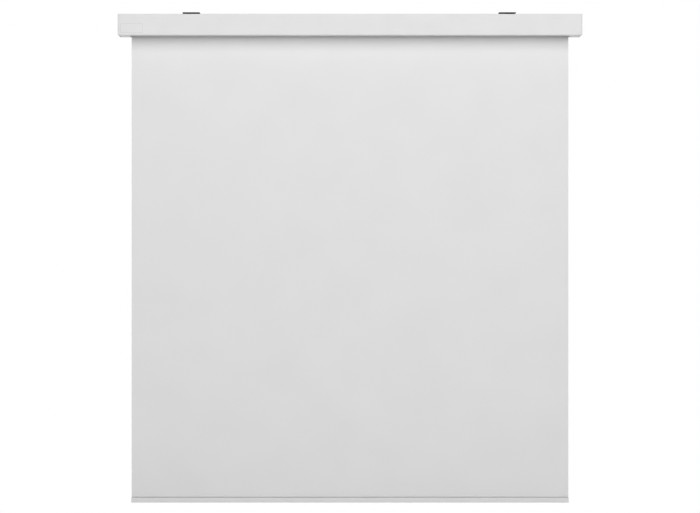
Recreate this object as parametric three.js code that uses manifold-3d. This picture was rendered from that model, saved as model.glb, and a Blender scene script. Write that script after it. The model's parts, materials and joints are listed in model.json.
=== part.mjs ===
// Motorized projector screen, fabric fully lowered.
// Millimetres. +X runs to the viewer's right, +Y to the wall behind, +Z up.
// The origin lies on the ceiling plane that the hanging brackets rest on, above the
// middle of the case.

import * as THREE from 'three';
import { mergeVertices } from 'three/addons/utils/BufferGeometryUtils.js';
import Module from 'manifold-3d';

const wasm = await Module();
wasm.setup();

// Screen fabric, the size that the rest is built around
const fabricWidth = 1800;
const fabricThickness = 0.45;
const drop = 1920;

// Case: an extruded aluminium housing, open below, closed there by a separate cover. It closes
// round the rolled fabric with these rooms, which make its section 88 mm deep and 86 mm high.
const casePastFabric = 50;
const turnsToFront = 4.875;
const turnsToChannel = 3.925;
const turnsToUnderside = 17.725;
const fabricToBack = 26;
const caseWall = 1.8;
const caseCornerRadius = 2.5;
const bottomCornerRadius = 0.8;

// Channel in the top of the case that the hanging bolts slide in
const neckRoom = 0.5;
const channelHeight = 5.2;

// Screw ports in the four corners of the extrusion
const portRadius = 3.4;
const portHoleRadius = 1.6;
const portSink = 1;
const lowerPortRise = 11;

// Inner ribs of the extrusion
const stiffenerDepth = 2.2;
const stiffenerWidth = 1.2;
const railReach = 4;
const railWidth = 1.4;
const railLip = 2;
const ledgeReach = 4;
const ledgeThickness = 1.5;

// Bottom cover, which snaps over the ledges
const coverThickness = 1.8;
const hookThickness = 1.2;
const hookBarb = 1.6;
const slotBeforeFabric = 21;
const slotBehindFabric = 8;
const slotEndRoom = 5.5;
const slotLipHeight = 3;
const slotLipThickness = 1.4;

// End caps and the steel side plates under them
const capDepth = 6;
const capRim = 2;
const capEdgeRadius = 1.2;
const plateThickness = 3;
const plateCornerRadius = 4;
const plateHoleRadius = 2.4;
const capScrewRadius = 2.2;
const capScrewHeadRadius = 4;
const capScrewHeadDepth = 1.7;

// Roller tube, its fabric groove and the turns that stay on it; the groove clears the motor
const motorToGroove = 2.1;
const tubeWall = 1.5;
const tubeFromPlate = 32;
const edgeRodRadius = 1.2;
const grooveWall = 1.2;
const turnGap = 0.45;
const wholeTurns = 2;

// Tubular motor
const motorRadius = 17.5;
const motorTubeLength = 450;
const headInset = 1;
const headLength = 22;
const headFillet = 2;
const headNeckLength = 6;
const headLug = 10;
const crimpWidth = 3;
const crimpDepth = 0.8;
const crimpFromEndShare = 0.06;
const shaftRadius = 6;
const shaftFlatDepth = 1;
const shaftInMotor = 14;
const shaftReach = 24;
const noseInset = 4;

// Limit crown and drive wheel
const crownLength = 15;
const wheelLength = 20;
const wheelRim = 2.6;
const wheelHubRadius = 9.5;
const wheelSpokes = 6;
const wheelSpokeWidth = 3;
const wheelRibs = 12;
const wheelRibWidth = 2;
const wheelRibHeight = 0.7;

// Turn counter: the crown's inner teeth drive a pinion in the head's neck
const teethOutsideMotor = 3.5;
const crownTeeth = 42;
const pinionTeeth = 12;
const pressureDegrees = 20;
const gearBacklash = 0.3;
const toothHeadShare = 0.85;
const toothFootShare = 1.15;
const pinionLength = 4.6;
const counterPinRadius = 1.2;
const counterPinSeat = 5;
const neckGap = 0.75;

// Limit-setting screws in the motor head
const limitScrewRadius = 3;
const limitScrewLength = 10;
const limitScrewOrbit = 15.5;
const limitScrewSpreadDegrees = 60;
const limitSocketFlat = 1.5;
const limitSocketDepth = 4;
const limitAccessRadius = 3.4;

// Idle end
const idlePlugLength = 32;
const idlePlugFlange = 2.5;
const idlePinRadius = 6;
const idlePinChamfer = 1;
const idlePinEndRoom = 3;
const bushRadius = 12;
const bushLength = 17;
const bushFlangeRadius = 17;
const bushFlangeThickness = 3;
const bushSpigotRadius = 8;

// Receiver box on the back wall
const boxLength = 120;
const boxHeight = 40;
const boxAboveRoller = 3;
const boxWall = 1.6;
const boxLidThickness = 1.8;
const boxLidLip = 2.5;
const boxLidRoom = 1.5;
const boxFromCaseEnd = 70;
const boxCornerRadius = 2;
const boxGlandRoom = 0.6;
const boardThickness = 1.6;
const boardMargin = 1.5;
const boardPost = 4;
const boardRise = 3;
const terminalLength = 12;
const terminalHeight = 16;
const terminalDepth = 8;
const terminalInset = 3;
const terminalChamfer = 1.5;
const relayLength = 19;
const relayHeight = 15.5;
const relayDepth = 8.5;
const relaySpacing = 24;
const relayEdge = 0.8;

// Lead from the motor to the receiver box
const leadRadius = 3;
const leadBend = 14;
const leadBossWall = 2.2;
const leadSteps = 26;
const clipWidth = 8;
const clipWall = 1.5;

// Grommet for the mains cord in the top of the case
const grommetFromCaseEnd = 46;
const grommetToPort = 0.7;
const grommetBoreRadius = 3.6;
const grommetNeckRadius = 6;
const grommetFlangeRadius = 8.5;
const grommetFlangeThickness = 1.6;

// Bottom bar
const barPastFabric = 0.5;
const barDepth = 12;
const barWall = 1.4;
const barBottomRadius = 3;
const barTopRadius = 0.6;
const barTrough = 4.5;
const barWeb = 1.2;
const plugThickness = 2;
const plugSpigot = 8;
const battenHeight = 3.4;
const weightHeight = 6;
const weightRoom = 1.5;

// Hanging brackets
const leftBracketFromCaseEnd = 299;
const rightBracketFromCaseEnd = 305;
const bracketWidth = 70;
const bracketThickness = 2.5;
const nutToBracket = 0.5;
const bracketSetback = 10;
const bracketWallGap = 2.5;
const bracketWallLeg = 52;
const bracketBendRadius = 3;
const bracketCornerRadius = 2;
const ceilingSlotWidth = 7;
const ceilingSlotLength = 20;
const ceilingSlotSpacing = 44;
const ceilingSlotBehindEdge = 26;
const wallSlotWidth = 7;
const wallSlotLength = 16;
const wallSlotSpacing = 40;
const boltRadius = 3;
const boltHeadWidth = 11.9;
const washerRadius = 7;
const washerThickness = 1.2;
const nutAcrossFlats = 10;
const nutHeight = 3.2;

// Clearances and cuts
const seatGap = 0.3;
const runGap = 0.3;
const cutOver = 2;
const roundSteps = 32;
const smallSteps = 16;
const arcSteps = 2;

// Roller, from the motor outwards
const grooveDepth = 2 * edgeRodRadius + seatGap;
const tubeBore = motorRadius + motorToGroove + grooveWall + grooveDepth;
const tubeRadius = tubeBore + tubeWall;
const turnPitch = fabricThickness + turnGap;
const turnsOnRoller = wholeTurns + 1 / 4;
const firstTurnRadius = tubeRadius + seatGap + fabricThickness / 2;
const windRadius = firstTurnRadius + turnsOnRoller * turnPitch;
const turnsRadius = windRadius + fabricThickness / 2;

// Case round the roller, and its height below the ceiling
const channelNeck = 2 * (boltRadius + neckRoom);
const channelWidth = boltHeadWidth + 2 * runGap;
const rollerBelowCaseTop = 2 * caseWall + channelHeight + turnsToChannel + turnsRadius;
const caseHeight = rollerBelowCaseTop + turnsRadius + turnsToUnderside;
const caseDepth = caseWall + turnsToFront + turnsRadius + windRadius + fabricToBack;
const bracketLift = seatGap + washerThickness + nutHeight + nutToBracket;
const caseTop = -(bracketThickness + bracketLift);
const caseBottom = caseTop - caseHeight;
const caseHalf = fabricWidth / 2 + casePastFabric;
const profileHalf = caseHalf - capDepth;
const innerY = caseDepth / 2 - caseWall;
const innerTop = caseTop - caseWall;
const coverTop = caseBottom + coverThickness;
const plateInnerX = profileHalf;
const portInset = portRadius + portSink;
const portY = caseDepth / 2 - portInset;
const upperPortZ = caseTop - portInset;
const lowerPortZ = caseBottom + lowerPortRise;

// Places of the fabric, the roller and the bottom bar
const fabricY = caseDepth / 2 - fabricToBack;
const rollerY = fabricY - windRadius;
const rollerZ = caseTop - rollerBelowCaseTop;
const tubeHalf = profileHalf - tubeFromPlate;
const barChamber = battenHeight + 2 * seatGap;
const barHeight = barTrough + 2 * barWall + barChamber + barWeb + weightRoom + weightHeight;
const barBottom = caseBottom - drop;
const barTop = barBottom + barHeight;
const barInner = barDepth / 2 - barWall;
const barHalf = fabricWidth / 2 + barPastFabric;

// Directions
const axisX = new THREE.Vector3(1, 0, 0);
const axisY = new THREE.Vector3(0, 1, 0);
const axisZ = new THREE.Vector3(0, 0, 1);

// Finishes
const finishes = {
  whitePaint: { color: 0xe9e9e8, roughness: 0.45, metalness: 0 },
  whitePlastic: { color: 0xe2e2e0, roughness: 0.5, metalness: 0 },
  screenWhite: { color: 0xefefee, roughness: 0.9, metalness: 0 },
  blackPaint: { color: 0x1d1d1f, roughness: 0.5, metalness: 0.2 },
  zincSteel: { color: 0xb4b7ba, roughness: 0.35, metalness: 0.9 },
  aluminium: { color: 0xc9cbcd, roughness: 0.35, metalness: 0.9 },
  blackPlastic: { color: 0x1b1b1c, roughness: 0.55, metalness: 0 },
  greyPlastic: { color: 0x8c8f92, roughness: 0.55, metalness: 0 },
  naturalNylon: { color: 0xdedace, roughness: 0.5, metalness: 0 },
  yellowPlastic: { color: 0xd9b020, roughness: 0.5, metalness: 0 },
  boardGreen: { color: 0x1f6a3c, roughness: 0.6, metalness: 0 },
  rubber: { color: 0x202022, roughness: 0.85, metalness: 0 },
};

function named(name, geometry, finish) {
  const mesh = new THREE.Mesh(geometry, new THREE.MeshStandardMaterial(finishes[finish]));
  mesh.name = name;
  return mesh;
}

// Closed mesh to solid and back

function solid(geometry) {
  const bare = geometry.clone();
  bare.deleteAttribute('normal');
  bare.deleteAttribute('uv');
  const merged = mergeVertices(bare);
  const index = merged.index.array;
  const triangles = [];
  for (let i = 0; i < index.length; i += 3) {
    const [a, b, c] = [index[i], index[i + 1], index[i + 2]];
    if (a !== b && b !== c && c !== a) triangles.push(a, b, c);
  }
  const mesh = new wasm.Mesh({
    numProp: 3,
    vertProperties: new Float32Array(merged.attributes.position.array),
    triVerts: new Uint32Array(triangles),
  });
  return new wasm.Manifold(mesh);
}

function surface(body) {
  const mesh = body.getMesh();
  const geometry = new THREE.BufferGeometry();
  geometry.setAttribute('position', new THREE.BufferAttribute(mesh.vertProperties, 3));
  geometry.setIndex(new THREE.BufferAttribute(mesh.triVerts, 1));
  geometry.computeVertexNormals();
  return geometry;
}

function joined(...geometries) {
  return geometries.map(solid).reduce((whole, next) => whole.add(next));
}

function cut(body, ...geometries) {
  return geometries.map(solid).reduce((whole, next) => whole.subtract(next), body);
}

// Basic forms

// A section drawn in (y, z) carried along X from one place to another
function alongX(section, fromX, toX, steps = arcSteps) {
  const settings = { depth: toX - fromX, bevelEnabled: false, curveSegments: steps };
  const geometry = new THREE.ExtrudeGeometry(section, settings);
  geometry.applyMatrix4(new THREE.Matrix4().makeBasis(axisY, axisZ, axisX));
  return geometry.translate(fromX, 0, 0);
}

// An outline drawn in (x, y) carried up Z
function upZ(outline, fromZ, toZ, steps = arcSteps) {
  const settings = { depth: toZ - fromZ, bevelEnabled: false, curveSegments: steps };
  return new THREE.ExtrudeGeometry(outline, settings).translate(0, 0, fromZ);
}

// An outline drawn in (x, z) carried back along Y
function alongY(outline, fromY, toY, steps = arcSteps) {
  const settings = { depth: toY - fromY, bevelEnabled: false, curveSegments: steps };
  const geometry = new THREE.ExtrudeGeometry(outline, settings);
  geometry.rotateX(Math.PI / 2);
  return geometry.translate(0, toY, 0);
}

// A profile of [radius, x] points turned about an axis that lies along X
function turned(profile, centreY, centreZ, steps = roundSteps) {
  const points = profile.map(([radius, x]) => new THREE.Vector2(radius, x));
  const geometry = new THREE.LatheGeometry(points, steps);
  geometry.applyMatrix4(new THREE.Matrix4().makeBasis(axisZ, axisX, axisY));
  return geometry.translate(0, centreY, centreZ);
}

// A round rod, or the cut for a hole, along X
function rodX(radius, fromX, toX, centreY, centreZ, steps = smallSteps) {
  const geometry = new THREE.CylinderGeometry(radius, radius, toX - fromX, steps);
  geometry.applyMatrix4(new THREE.Matrix4().makeBasis(axisZ, axisX, axisY));
  return geometry.translate((fromX + toX) / 2, centreY, centreZ);
}

function rodZ(radius, fromZ, toZ, centreX, centreY, steps = smallSteps) {
  const geometry = new THREE.CylinderGeometry(radius, radius, toZ - fromZ, steps);
  geometry.rotateX(Math.PI / 2);
  return geometry.translate(centreX, centreY, (fromZ + toZ) / 2);
}

function block(fromX, toX, fromY, toY, fromZ, toZ) {
  const geometry = new THREE.BoxGeometry(toX - fromX, toY - fromY, toZ - fromZ);
  return geometry.translate((fromX + toX) / 2, (fromY + toY) / 2, (fromZ + toZ) / 2);
}

// A rectangle with its own corner radius at the bottom and at the top
function roundedSection(left, right, bottom, top, bottomRadius, topRadius = bottomRadius) {
  const shape = new THREE.Shape();
  shape.moveTo(left + bottomRadius, bottom);
  shape.lineTo(right - bottomRadius, bottom);
  shape.absarc(right - bottomRadius, bottom + bottomRadius, bottomRadius, -Math.PI / 2, 0);
  shape.lineTo(right, top - topRadius);
  shape.absarc(right - topRadius, top - topRadius, topRadius, 0, Math.PI / 2);
  shape.lineTo(left + topRadius, top);
  shape.absarc(left + topRadius, top - topRadius, topRadius, Math.PI / 2, Math.PI);
  shape.lineTo(left, bottom + bottomRadius);
  shape.absarc(left + bottomRadius, bottom + bottomRadius, bottomRadius, Math.PI, 1.5 * Math.PI);
  return shape;
}

// A slot with round ends, its length along the outline's second direction
function slotOutline(centreX, centreY, width, length) {
  const radius = width / 2;
  const reach = length / 2 - radius;
  const shape = new THREE.Shape();
  shape.absarc(centreX, centreY + reach, radius, 0, Math.PI);
  shape.absarc(centreX, centreY - reach, radius, Math.PI, 2 * Math.PI);
  return shape;
}

// A band of even thickness along a line of (y, z) points
function bandOutline(line, thickness) {
  const left = [];
  const right = [];
  line.forEach((point, i) => {
    const before = line[Math.max(i - 1, 0)];
    const after = line[Math.min(i + 1, line.length - 1)];
    const inward = point.clone().sub(before).normalize();
    const onward = after.clone().sub(point).normalize();
    const course = inward.clone().add(onward).normalize();
    const normal = new THREE.Vector2(-course.y, course.x);
    const turn = inward.lengthSq() > 0 && onward.lengthSq() > 0 ? inward.dot(onward) : 1;
    const half = thickness / 2 / Math.sqrt((1 + turn) / 2);
    left.push(point.clone().addScaledVector(normal, half));
    right.push(point.clone().addScaledVector(normal, -half));
  });
  return new THREE.Shape([...left, ...right.reverse()]);
}

// Case extrusion: three walls, top channel, screw ports, ledges, box rails and one stiffener

function channelSection() {
  const half = channelWidth / 2 + caseWall;
  const bottom = innerTop - channelHeight - caseWall;
  return roundedSection(-half, half, bottom, caseTop - caseWall / 2, caseWall / 2, 0);
}

function railSection(baseZ, lipSide) {
  const shape = new THREE.Shape();
  const lipEdge = baseZ + lipSide * (railWidth + railLip);
  shape.moveTo(innerY + caseWall / 2, baseZ);
  shape.lineTo(innerY - railReach, baseZ);
  shape.lineTo(innerY - railReach, lipEdge);
  shape.lineTo(innerY - railReach + railWidth, lipEdge);
  shape.lineTo(innerY - railReach + railWidth, baseZ + lipSide * railWidth);
  shape.lineTo(innerY + caseWall / 2, baseZ + lipSide * railWidth);
  return shape;
}

// The rails run at one height for the box's back flange, lips facing each other
const boxTop = rollerZ + boxAboveRoller + boxHeight / 2;
const boxBottom = boxTop - boxHeight;
const upperRailZ = boxTop + seatGap + railWidth;
const lowerRailZ = boxBottom - seatGap - railWidth;

const ledgeTop = coverTop + seatGap + ledgeThickness;

function caseProfile() {
  const left = -profileHalf;
  const right = profileHalf;
  const outer = roundedSection(
    -caseDepth / 2, caseDepth / 2, caseBottom, caseTop, bottomCornerRadius, caseCornerRadius);
  const hollow = block(
    left - cutOver, right + cutOver, -innerY, innerY, caseBottom - cutOver, innerTop);
  let body = cut(joined(alongX(outer, left, right)), hollow);

  const ledge = (side) => {
    const wall = side * (innerY + caseWall / 2);
    const lip = side * (innerY - ledgeReach);
    return block(left, right, Math.min(wall, lip), Math.max(wall, lip),
      ledgeTop - ledgeThickness, ledgeTop);
  };
  const stiffenerZ = (caseTop + caseBottom) / 2;
  const stiffener = block(left, right, -innerY - caseWall / 2, -innerY + stiffenerDepth,
    stiffenerZ - stiffenerWidth / 2, stiffenerZ + stiffenerWidth / 2);
  const ports = [];
  const portHoles = [];
  for (const side of [-1, 1]) {
    for (const z of [upperPortZ, lowerPortZ]) {
      ports.push(rodX(portRadius, left, right, side * portY, z));
      portHoles.push(rodX(portHoleRadius, left - cutOver, right + cutOver, side * portY, z));
    }
  }
  body = body.add(joined(
    alongX(channelSection(), left, right),
    alongX(railSection(upperRailZ, -1), left, right),
    alongX(railSection(lowerRailZ, 1), left, right),
    ledge(-1), ledge(1), stiffener, ...ports));

  const channel = block(left - cutOver, right + cutOver, -channelWidth / 2, channelWidth / 2,
    innerTop - channelHeight, innerTop);
  const neck = block(left - cutOver, right + cutOver, -channelNeck / 2, channelNeck / 2,
    innerTop - cutOver, caseTop + cutOver);
  const cordHole = rodZ(grommetNeckRadius + seatGap, innerTop - cutOver, caseTop + cutOver,
    grommetX, grommetY, smallSteps);
  return named('case_profile', surface(cut(body, channel, neck, cordHole, ...portHoles)),
    'whitePaint');
}

// Bottom cover: a flat strip with the fabric's slot, lips round the slot and two snap hooks

function hookSection(side) {
  const base = side * (innerY - ledgeReach - seatGap);
  const root = base - side * hookThickness;
  const tip = base + side * hookBarb;
  const barbBottom = ledgeTop + seatGap;
  const shape = new THREE.Shape();
  shape.moveTo(root, coverTop - coverThickness / 2);
  shape.lineTo(base, coverTop - coverThickness / 2);
  shape.lineTo(base, barbBottom);
  shape.lineTo(tip, barbBottom);
  shape.lineTo(base, barbBottom + hookBarb);
  shape.lineTo(root, barbBottom + hookBarb);
  return shape;
}

function bottomCover() {
  const end = profileHalf - seatGap;
  const edge = innerY - seatGap;
  const slotHalf = fabricWidth / 2 + slotEndRoom;
  const front = fabricY - slotBeforeFabric;
  const back = fabricY + slotBehindFabric;
  const plate = block(-end, end, -edge, edge, caseBottom, coverTop);
  const lip = block(-slotHalf - slotLipThickness, slotHalf + slotLipThickness,
    front - slotLipThickness, back + slotLipThickness, coverTop - coverThickness / 2,
    coverTop + slotLipHeight);
  const slot = block(-slotHalf, slotHalf, front, back,
    caseBottom - cutOver, coverTop + slotLipHeight + cutOver);
  const body = cut(joined(plate, lip, alongX(hookSection(-1), -end, end),
    alongX(hookSection(1), -end, end)), slot);
  return named('bottom_cover', surface(body), 'whitePaint');
}

// Side plates and end caps

function sidePlateSection() {
  const margin = capRim + seatGap;
  return roundedSection(-caseDepth / 2 + margin, caseDepth / 2 - margin,
    caseBottom + margin, caseTop - margin, plateCornerRadius);
}

function portRods(radius, fromX, toX) {
  const rods = [];
  for (const side of [-1, 1]) {
    for (const z of [upperPortZ, lowerPortZ]) {
      rods.push(rodX(radius, fromX, toX, side * portY, z));
    }
  }
  return rods;
}

const limitPlaces = [-1, 1].map((side) => {
  const angle = THREE.MathUtils.degToRad(90 + side * limitScrewSpreadDegrees / 2);
  return {
    y: rollerY + limitScrewOrbit * Math.cos(angle),
    z: rollerZ + limitScrewOrbit * Math.sin(angle),
  };
});

function motorSidePlate() {
  const outer = -plateInnerX - plateThickness;
  const plate = joined(alongX(sidePlateSection(), outer, -plateInnerX));
  const lugHalf = headLug / 2 + seatGap;
  const lugHole = block(outer - cutOver, -plateInnerX + cutOver,
    rollerY - lugHalf, rollerY + lugHalf, rollerZ - lugHalf, rollerZ + lugHalf);
  const access = limitPlaces.map((place) => rodX(
    limitAccessRadius, outer - cutOver, -plateInnerX + cutOver, place.y, place.z));
  const body = cut(plate, lugHole, ...access,
    ...portRods(plateHoleRadius, outer - cutOver, -plateInnerX + cutOver));
  return named('motor_side_plate', surface(body), 'zincSteel');
}

function idleSidePlate() {
  const outer = plateInnerX + plateThickness;
  const plate = joined(alongX(sidePlateSection(), plateInnerX, outer));
  const seat = rodX(bushSpigotRadius + seatGap, plateInnerX - cutOver, outer + cutOver,
    rollerY, rollerZ, roundSteps);
  const body = cut(plate, seat,
    ...portRods(plateHoleRadius, plateInnerX - cutOver, outer + cutOver));
  return named('idle_side_plate', surface(body), 'zincSteel');
}

// A shallow tray over the case's end: its outer edge is rounded, its rim goes round the plate
function endCap(name, side) {
  const section = roundedSection(
    -caseDepth / 2 + capEdgeRadius, caseDepth / 2 - capEdgeRadius,
    caseBottom + capEdgeRadius, caseTop - capEdgeRadius, capEdgeRadius);
  const tray = new THREE.ExtrudeGeometry(section, {
    depth: capDepth,
    bevelEnabled: true,
    bevelThickness: capEdgeRadius,
    bevelSize: capEdgeRadius,
    bevelSegments: 2,
    curveSegments: arcSteps,
  });
  tray.applyMatrix4(new THREE.Matrix4().makeBasis(axisY, axisZ, axisX));
  const trayX = side < 0 ? -caseHalf + capEdgeRadius : caseHalf - capEdgeRadius - capDepth;
  tray.translate(trayX, 0, 0);
  const pocketWall = capDepth - plateThickness - seatGap;
  const inner = side * profileHalf;
  const pocketEnd = side * (caseHalf - pocketWall);
  const pocket = alongX(roundedSection(
    -caseDepth / 2 + capRim, caseDepth / 2 - capRim, caseBottom + capRim, caseTop - capRim,
    plateCornerRadius), Math.min(inner, pocketEnd) - (side > 0 ? cutOver : 0),
  Math.max(inner, pocketEnd) + (side < 0 ? cutOver : 0));
  const overhang = block(
    Math.min(inner, inner - side * (capDepth + cutOver)),
    Math.max(inner, inner - side * (capDepth + cutOver)),
    -caseDepth, caseDepth, caseBottom - cutOver, caseTop + cutOver);
  const from = side < 0 ? -caseHalf - cutOver : profileHalf;
  const to = side < 0 ? -profileHalf : caseHalf + cutOver;
  const cuts = [pocket, overhang, ...portRods(capScrewRadius, from, to)];
  const headFrom = side < 0 ? -caseHalf - cutOver : caseHalf - capScrewHeadDepth;
  const headTo = side < 0 ? -caseHalf + capScrewHeadDepth : caseHalf + cutOver;
  cuts.push(...portRods(capScrewHeadRadius, headFrom, headTo));
  if (side < 0) {
    cuts.push(...limitPlaces.map(
      (place) => rodX(limitAccessRadius, from, to, place.y, place.z)));
  }
  return named(name, surface(cut(joined(tray), ...cuts)), 'whitePlastic');
}

// Tubular motor

const headRadius = tubeRadius - headInset;
const headFromX = -plateInnerX;
const headToX = headFromX + headLength + headNeckLength;
const motorToX = headToX + motorTubeLength;
const limitBoreX = headFromX + limitScrewLength + 2 * runGap;

// Turn counter: involute teeth inside the crown, and the pinion that they drive

const crownPitchRadius = motorRadius + teethOutsideMotor;
const gearModule = 2 * crownPitchRadius / crownTeeth;
const pinionPitchRadius = gearModule * pinionTeeth / 2;
const pinionZ = rollerZ - (crownPitchRadius - pinionPitchRadius);
const pinionTip = pinionPitchRadius + toothHeadShare * gearModule;
const crownToothTip = crownPitchRadius - toothHeadShare * gearModule;
const neckRadius = crownToothTip - neckGap;
const pinFromX = headToX - pinionLength - 2 * runGap - counterPinSeat;

// Outline of a toothed wheel in (y, z), one tooth pointing straight down. Each flank is the
// involute of the base circle; width is the tooth's width on the pitch circle.
function gearOutline(teeth, width, innerRadius, outerRadius, centreZ) {
  const pressure = THREE.MathUtils.degToRad(pressureDegrees);
  const pitchRadius = gearModule * teeth / 2;
  const baseRadius = pitchRadius * Math.cos(pressure);
  const involute = (angle) => Math.tan(angle) - angle;
  const halfAngle = (radius) => {
    const flank = Math.acos(Math.min(baseRadius / radius, 1));
    return width / (2 * pitchRadius) + involute(pressure) - involute(flank);
  };
  const radii = [0, 1 / 2, 1].map(
    (share) => innerRadius + share * (outerRadius - innerRadius));
  const points = [];
  for (let i = 0; i < teeth; i += 1) {
    const middle = -Math.PI / 2 + i * 2 * Math.PI / teeth;
    const flank = (radius, side) => points.push(new THREE.Vector2(
      rollerY + radius * Math.cos(middle + side * halfAngle(radius)),
      centreZ + radius * Math.sin(middle + side * halfAngle(radius))));
    radii.forEach((radius) => flank(radius, -1));
    [...radii].reverse().forEach((radius) => flank(radius, 1));
  }
  return new THREE.Shape(points);
}

function counterPinion() {
  const to = headToX - runGap;
  const width = Math.PI * gearModule / 2 - gearBacklash;
  const outline = gearOutline(pinionTeeth, width,
    pinionPitchRadius - toothFootShare * gearModule, pinionTip, pinionZ);
  const wheel = joined(alongX(outline, to - pinionLength, to));
  const bore = rodX(counterPinRadius + runGap, to - pinionLength - cutOver, to + cutOver,
    rollerY, pinionZ, 12);
  return named('counter_pinion', surface(cut(wheel, bore)), 'naturalNylon');
}

function counterPin() {
  const pin = rodX(counterPinRadius, pinFromX, headToX - runGap, rollerY, pinionZ, 12);
  return named('counter_pin', surface(solid(pin)), 'zincSteel');
}

function motorHead() {
  const profile = [
    [0, headFromX],
    [headRadius - headFillet / 2, headFromX],
    [headRadius, headFromX + headFillet / 2],
    [headRadius, headFromX + headLength - headFillet],
    [headRadius - headFillet, headFromX + headLength],
    [neckRadius, headFromX + headLength],
    [neckRadius, headToX],
    [0, headToX],
  ];
  const lugHalf = headLug / 2;
  const lug = block(headFromX - plateThickness + seatGap, headFromX + headFillet,
    rollerY - lugHalf, rollerY + lugHalf, rollerZ - lugHalf, rollerZ + lugHalf);
  const leadBoss = block(leadX - leadBossHalf, leadX + leadBossHalf,
    rollerY + headRadius / 2, leadExitY, leadExitZ - leadBossHalf, leadExitZ + leadBossHalf);
  const bores = limitPlaces.map((place) => rodX(
    limitScrewRadius + runGap, headFromX - cutOver, limitBoreX, place.y, place.z));
  const pinionRoom = rodX(pinionTip + neckGap, headToX - pinionLength - 2 * runGap,
    headToX + cutOver, rollerY, pinionZ, roundSteps);
  const pinSeat = rodX(counterPinRadius + seatGap, pinFromX - seatGap, headToX,
    rollerY, pinionZ, 12);
  const body = cut(joined(turned(profile, rollerY, rollerZ), lug, leadBoss),
    ...bores, pinionRoom, pinSeat);
  return named('motor_head', surface(body), 'blackPlastic');
}

function motorTube() {
  const crimp = motorTubeLength * crimpFromEndShare;
  const groove = (x) => [
    [motorRadius, x - crimpWidth / 2],
    [motorRadius - crimpDepth, x - crimpWidth / 4],
    [motorRadius - crimpDepth, x + crimpWidth / 4],
    [motorRadius, x + crimpWidth / 2],
  ];
  const bore = shaftRadius + runGap;
  const profile = [
    [0, headToX],
    [motorRadius, headToX],
    ...groove(headToX + crimp),
    ...groove(motorToX - crimp),
    [motorRadius, motorToX - noseInset],
    [motorRadius - noseInset, motorToX],
    [bore, motorToX],
    [bore, motorToX - shaftInMotor - runGap],
    [0, motorToX - shaftInMotor - runGap],
  ];
  return named('motor_tube', surface(solid(turned(profile, rollerY, rollerZ))), 'zincSteel');
}

function limitScrew(name, place, finish) {
  const from = headFromX + runGap;
  const screw = joined(rodX(limitScrewRadius, from, from + limitScrewLength,
    place.y, place.z));
  const socketRadius = limitSocketFlat / Math.cos(Math.PI / 6);
  const socket = rodX(socketRadius, from - cutOver, from + limitSocketDepth,
    place.y, place.z, 6);
  return named(name, surface(cut(screw, socket)), finish);
}

// Section of the round shaft with two flats, with a gap round it for a bore
function shaftSection(gap = 0) {
  const radius = shaftRadius + gap;
  const flat = shaftRadius - shaftFlatDepth + gap;
  const start = Math.asin(flat / radius);
  const shape = new THREE.Shape();
  shape.absarc(rollerY, rollerZ, radius, -start, start);
  shape.absarc(rollerY, rollerZ, radius, Math.PI - start, Math.PI + start);
  return shape;
}

function motorShaft() {
  const body = alongX(shaftSection(), motorToX - shaftInMotor, motorToX + shaftReach, 4);
  return named('motor_shaft', surface(solid(body)), 'zincSteel');
}

// Roller tube with the fabric's groove along its top

const grooveHalf = edgeRodRadius + seatGap;
const mouthHalf = fabricThickness / 2 + seatGap;
const grooveFloor = tubeBore - grooveDepth;

function rollerTube() {
  const outer = new THREE.Shape().absarc(rollerY, rollerZ, tubeRadius, 0, 2 * Math.PI);
  const bore = new THREE.Shape().absarc(rollerY, rollerZ, tubeBore, 0, 2 * Math.PI);
  const x = tubeHalf;
  const shell = cut(joined(alongX(outer, -x, x, roundSteps / 2)),
    alongX(bore, -x - cutOver, x + cutOver, roundSteps / 2));
  const pocketHalf = grooveHalf + grooveWall;
  const wallMiddle = tubeRadius - tubeWall / 2;
  const pocket = block(-x, x, rollerY - pocketHalf, rollerY + pocketHalf,
    rollerZ + grooveFloor - grooveWall, rollerZ + wallMiddle);
  const hollow = block(-x - cutOver, x + cutOver, rollerY - grooveHalf, rollerY + grooveHalf,
    rollerZ + grooveFloor, rollerZ + tubeBore);
  const mouth = block(-x - cutOver, x + cutOver, rollerY - mouthHalf, rollerY + mouthHalf,
    rollerZ + grooveFloor, rollerZ + tubeRadius + cutOver);
  return named('roller_tube', surface(cut(shell.add(solid(pocket)), hollow, mouth)),
    'aluminium');
}

// The notch that the groove's pocket leaves in whatever fits the tube's bore
function pocketNotch(fromX, toX) {
  const half = grooveHalf + grooveWall + seatGap;
  return block(fromX, toX, rollerY - half, rollerY + half,
    rollerZ + grooveFloor - grooveWall - seatGap, rollerZ + tubeBore + cutOver);
}

// The limit crown turns with the tube round the motor; its skirt's inner teeth go round the
// head's neck and drive the turn counter
function limitCrown() {
  const from = headFromX + headLength + 2 * runGap;
  const web = headToX + 2 * runGap;
  const to = -tubeHalf + crownLength;
  const bore = motorRadius + runGap;
  const profile = [
    [bore, from],
    [tubeRadius, from],
    [tubeRadius, -tubeHalf],
    [tubeBore - seatGap, -tubeHalf],
    [tubeBore - seatGap, to],
    [bore, to],
    [bore, from],
  ];
  const width = Math.PI * gearModule / 2 + gearBacklash;
  const outline = gearOutline(crownTeeth, width, crownToothTip,
    crownPitchRadius + toothFootShare * gearModule, rollerZ);
  const teeth = alongX(outline, from - cutOver, web);
  const body = cut(joined(turned(profile, rollerY, rollerZ)), teeth,
    pocketNotch(-tubeHalf, to + cutOver));
  return named('limit_crown', surface(body), 'naturalNylon');
}

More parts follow.
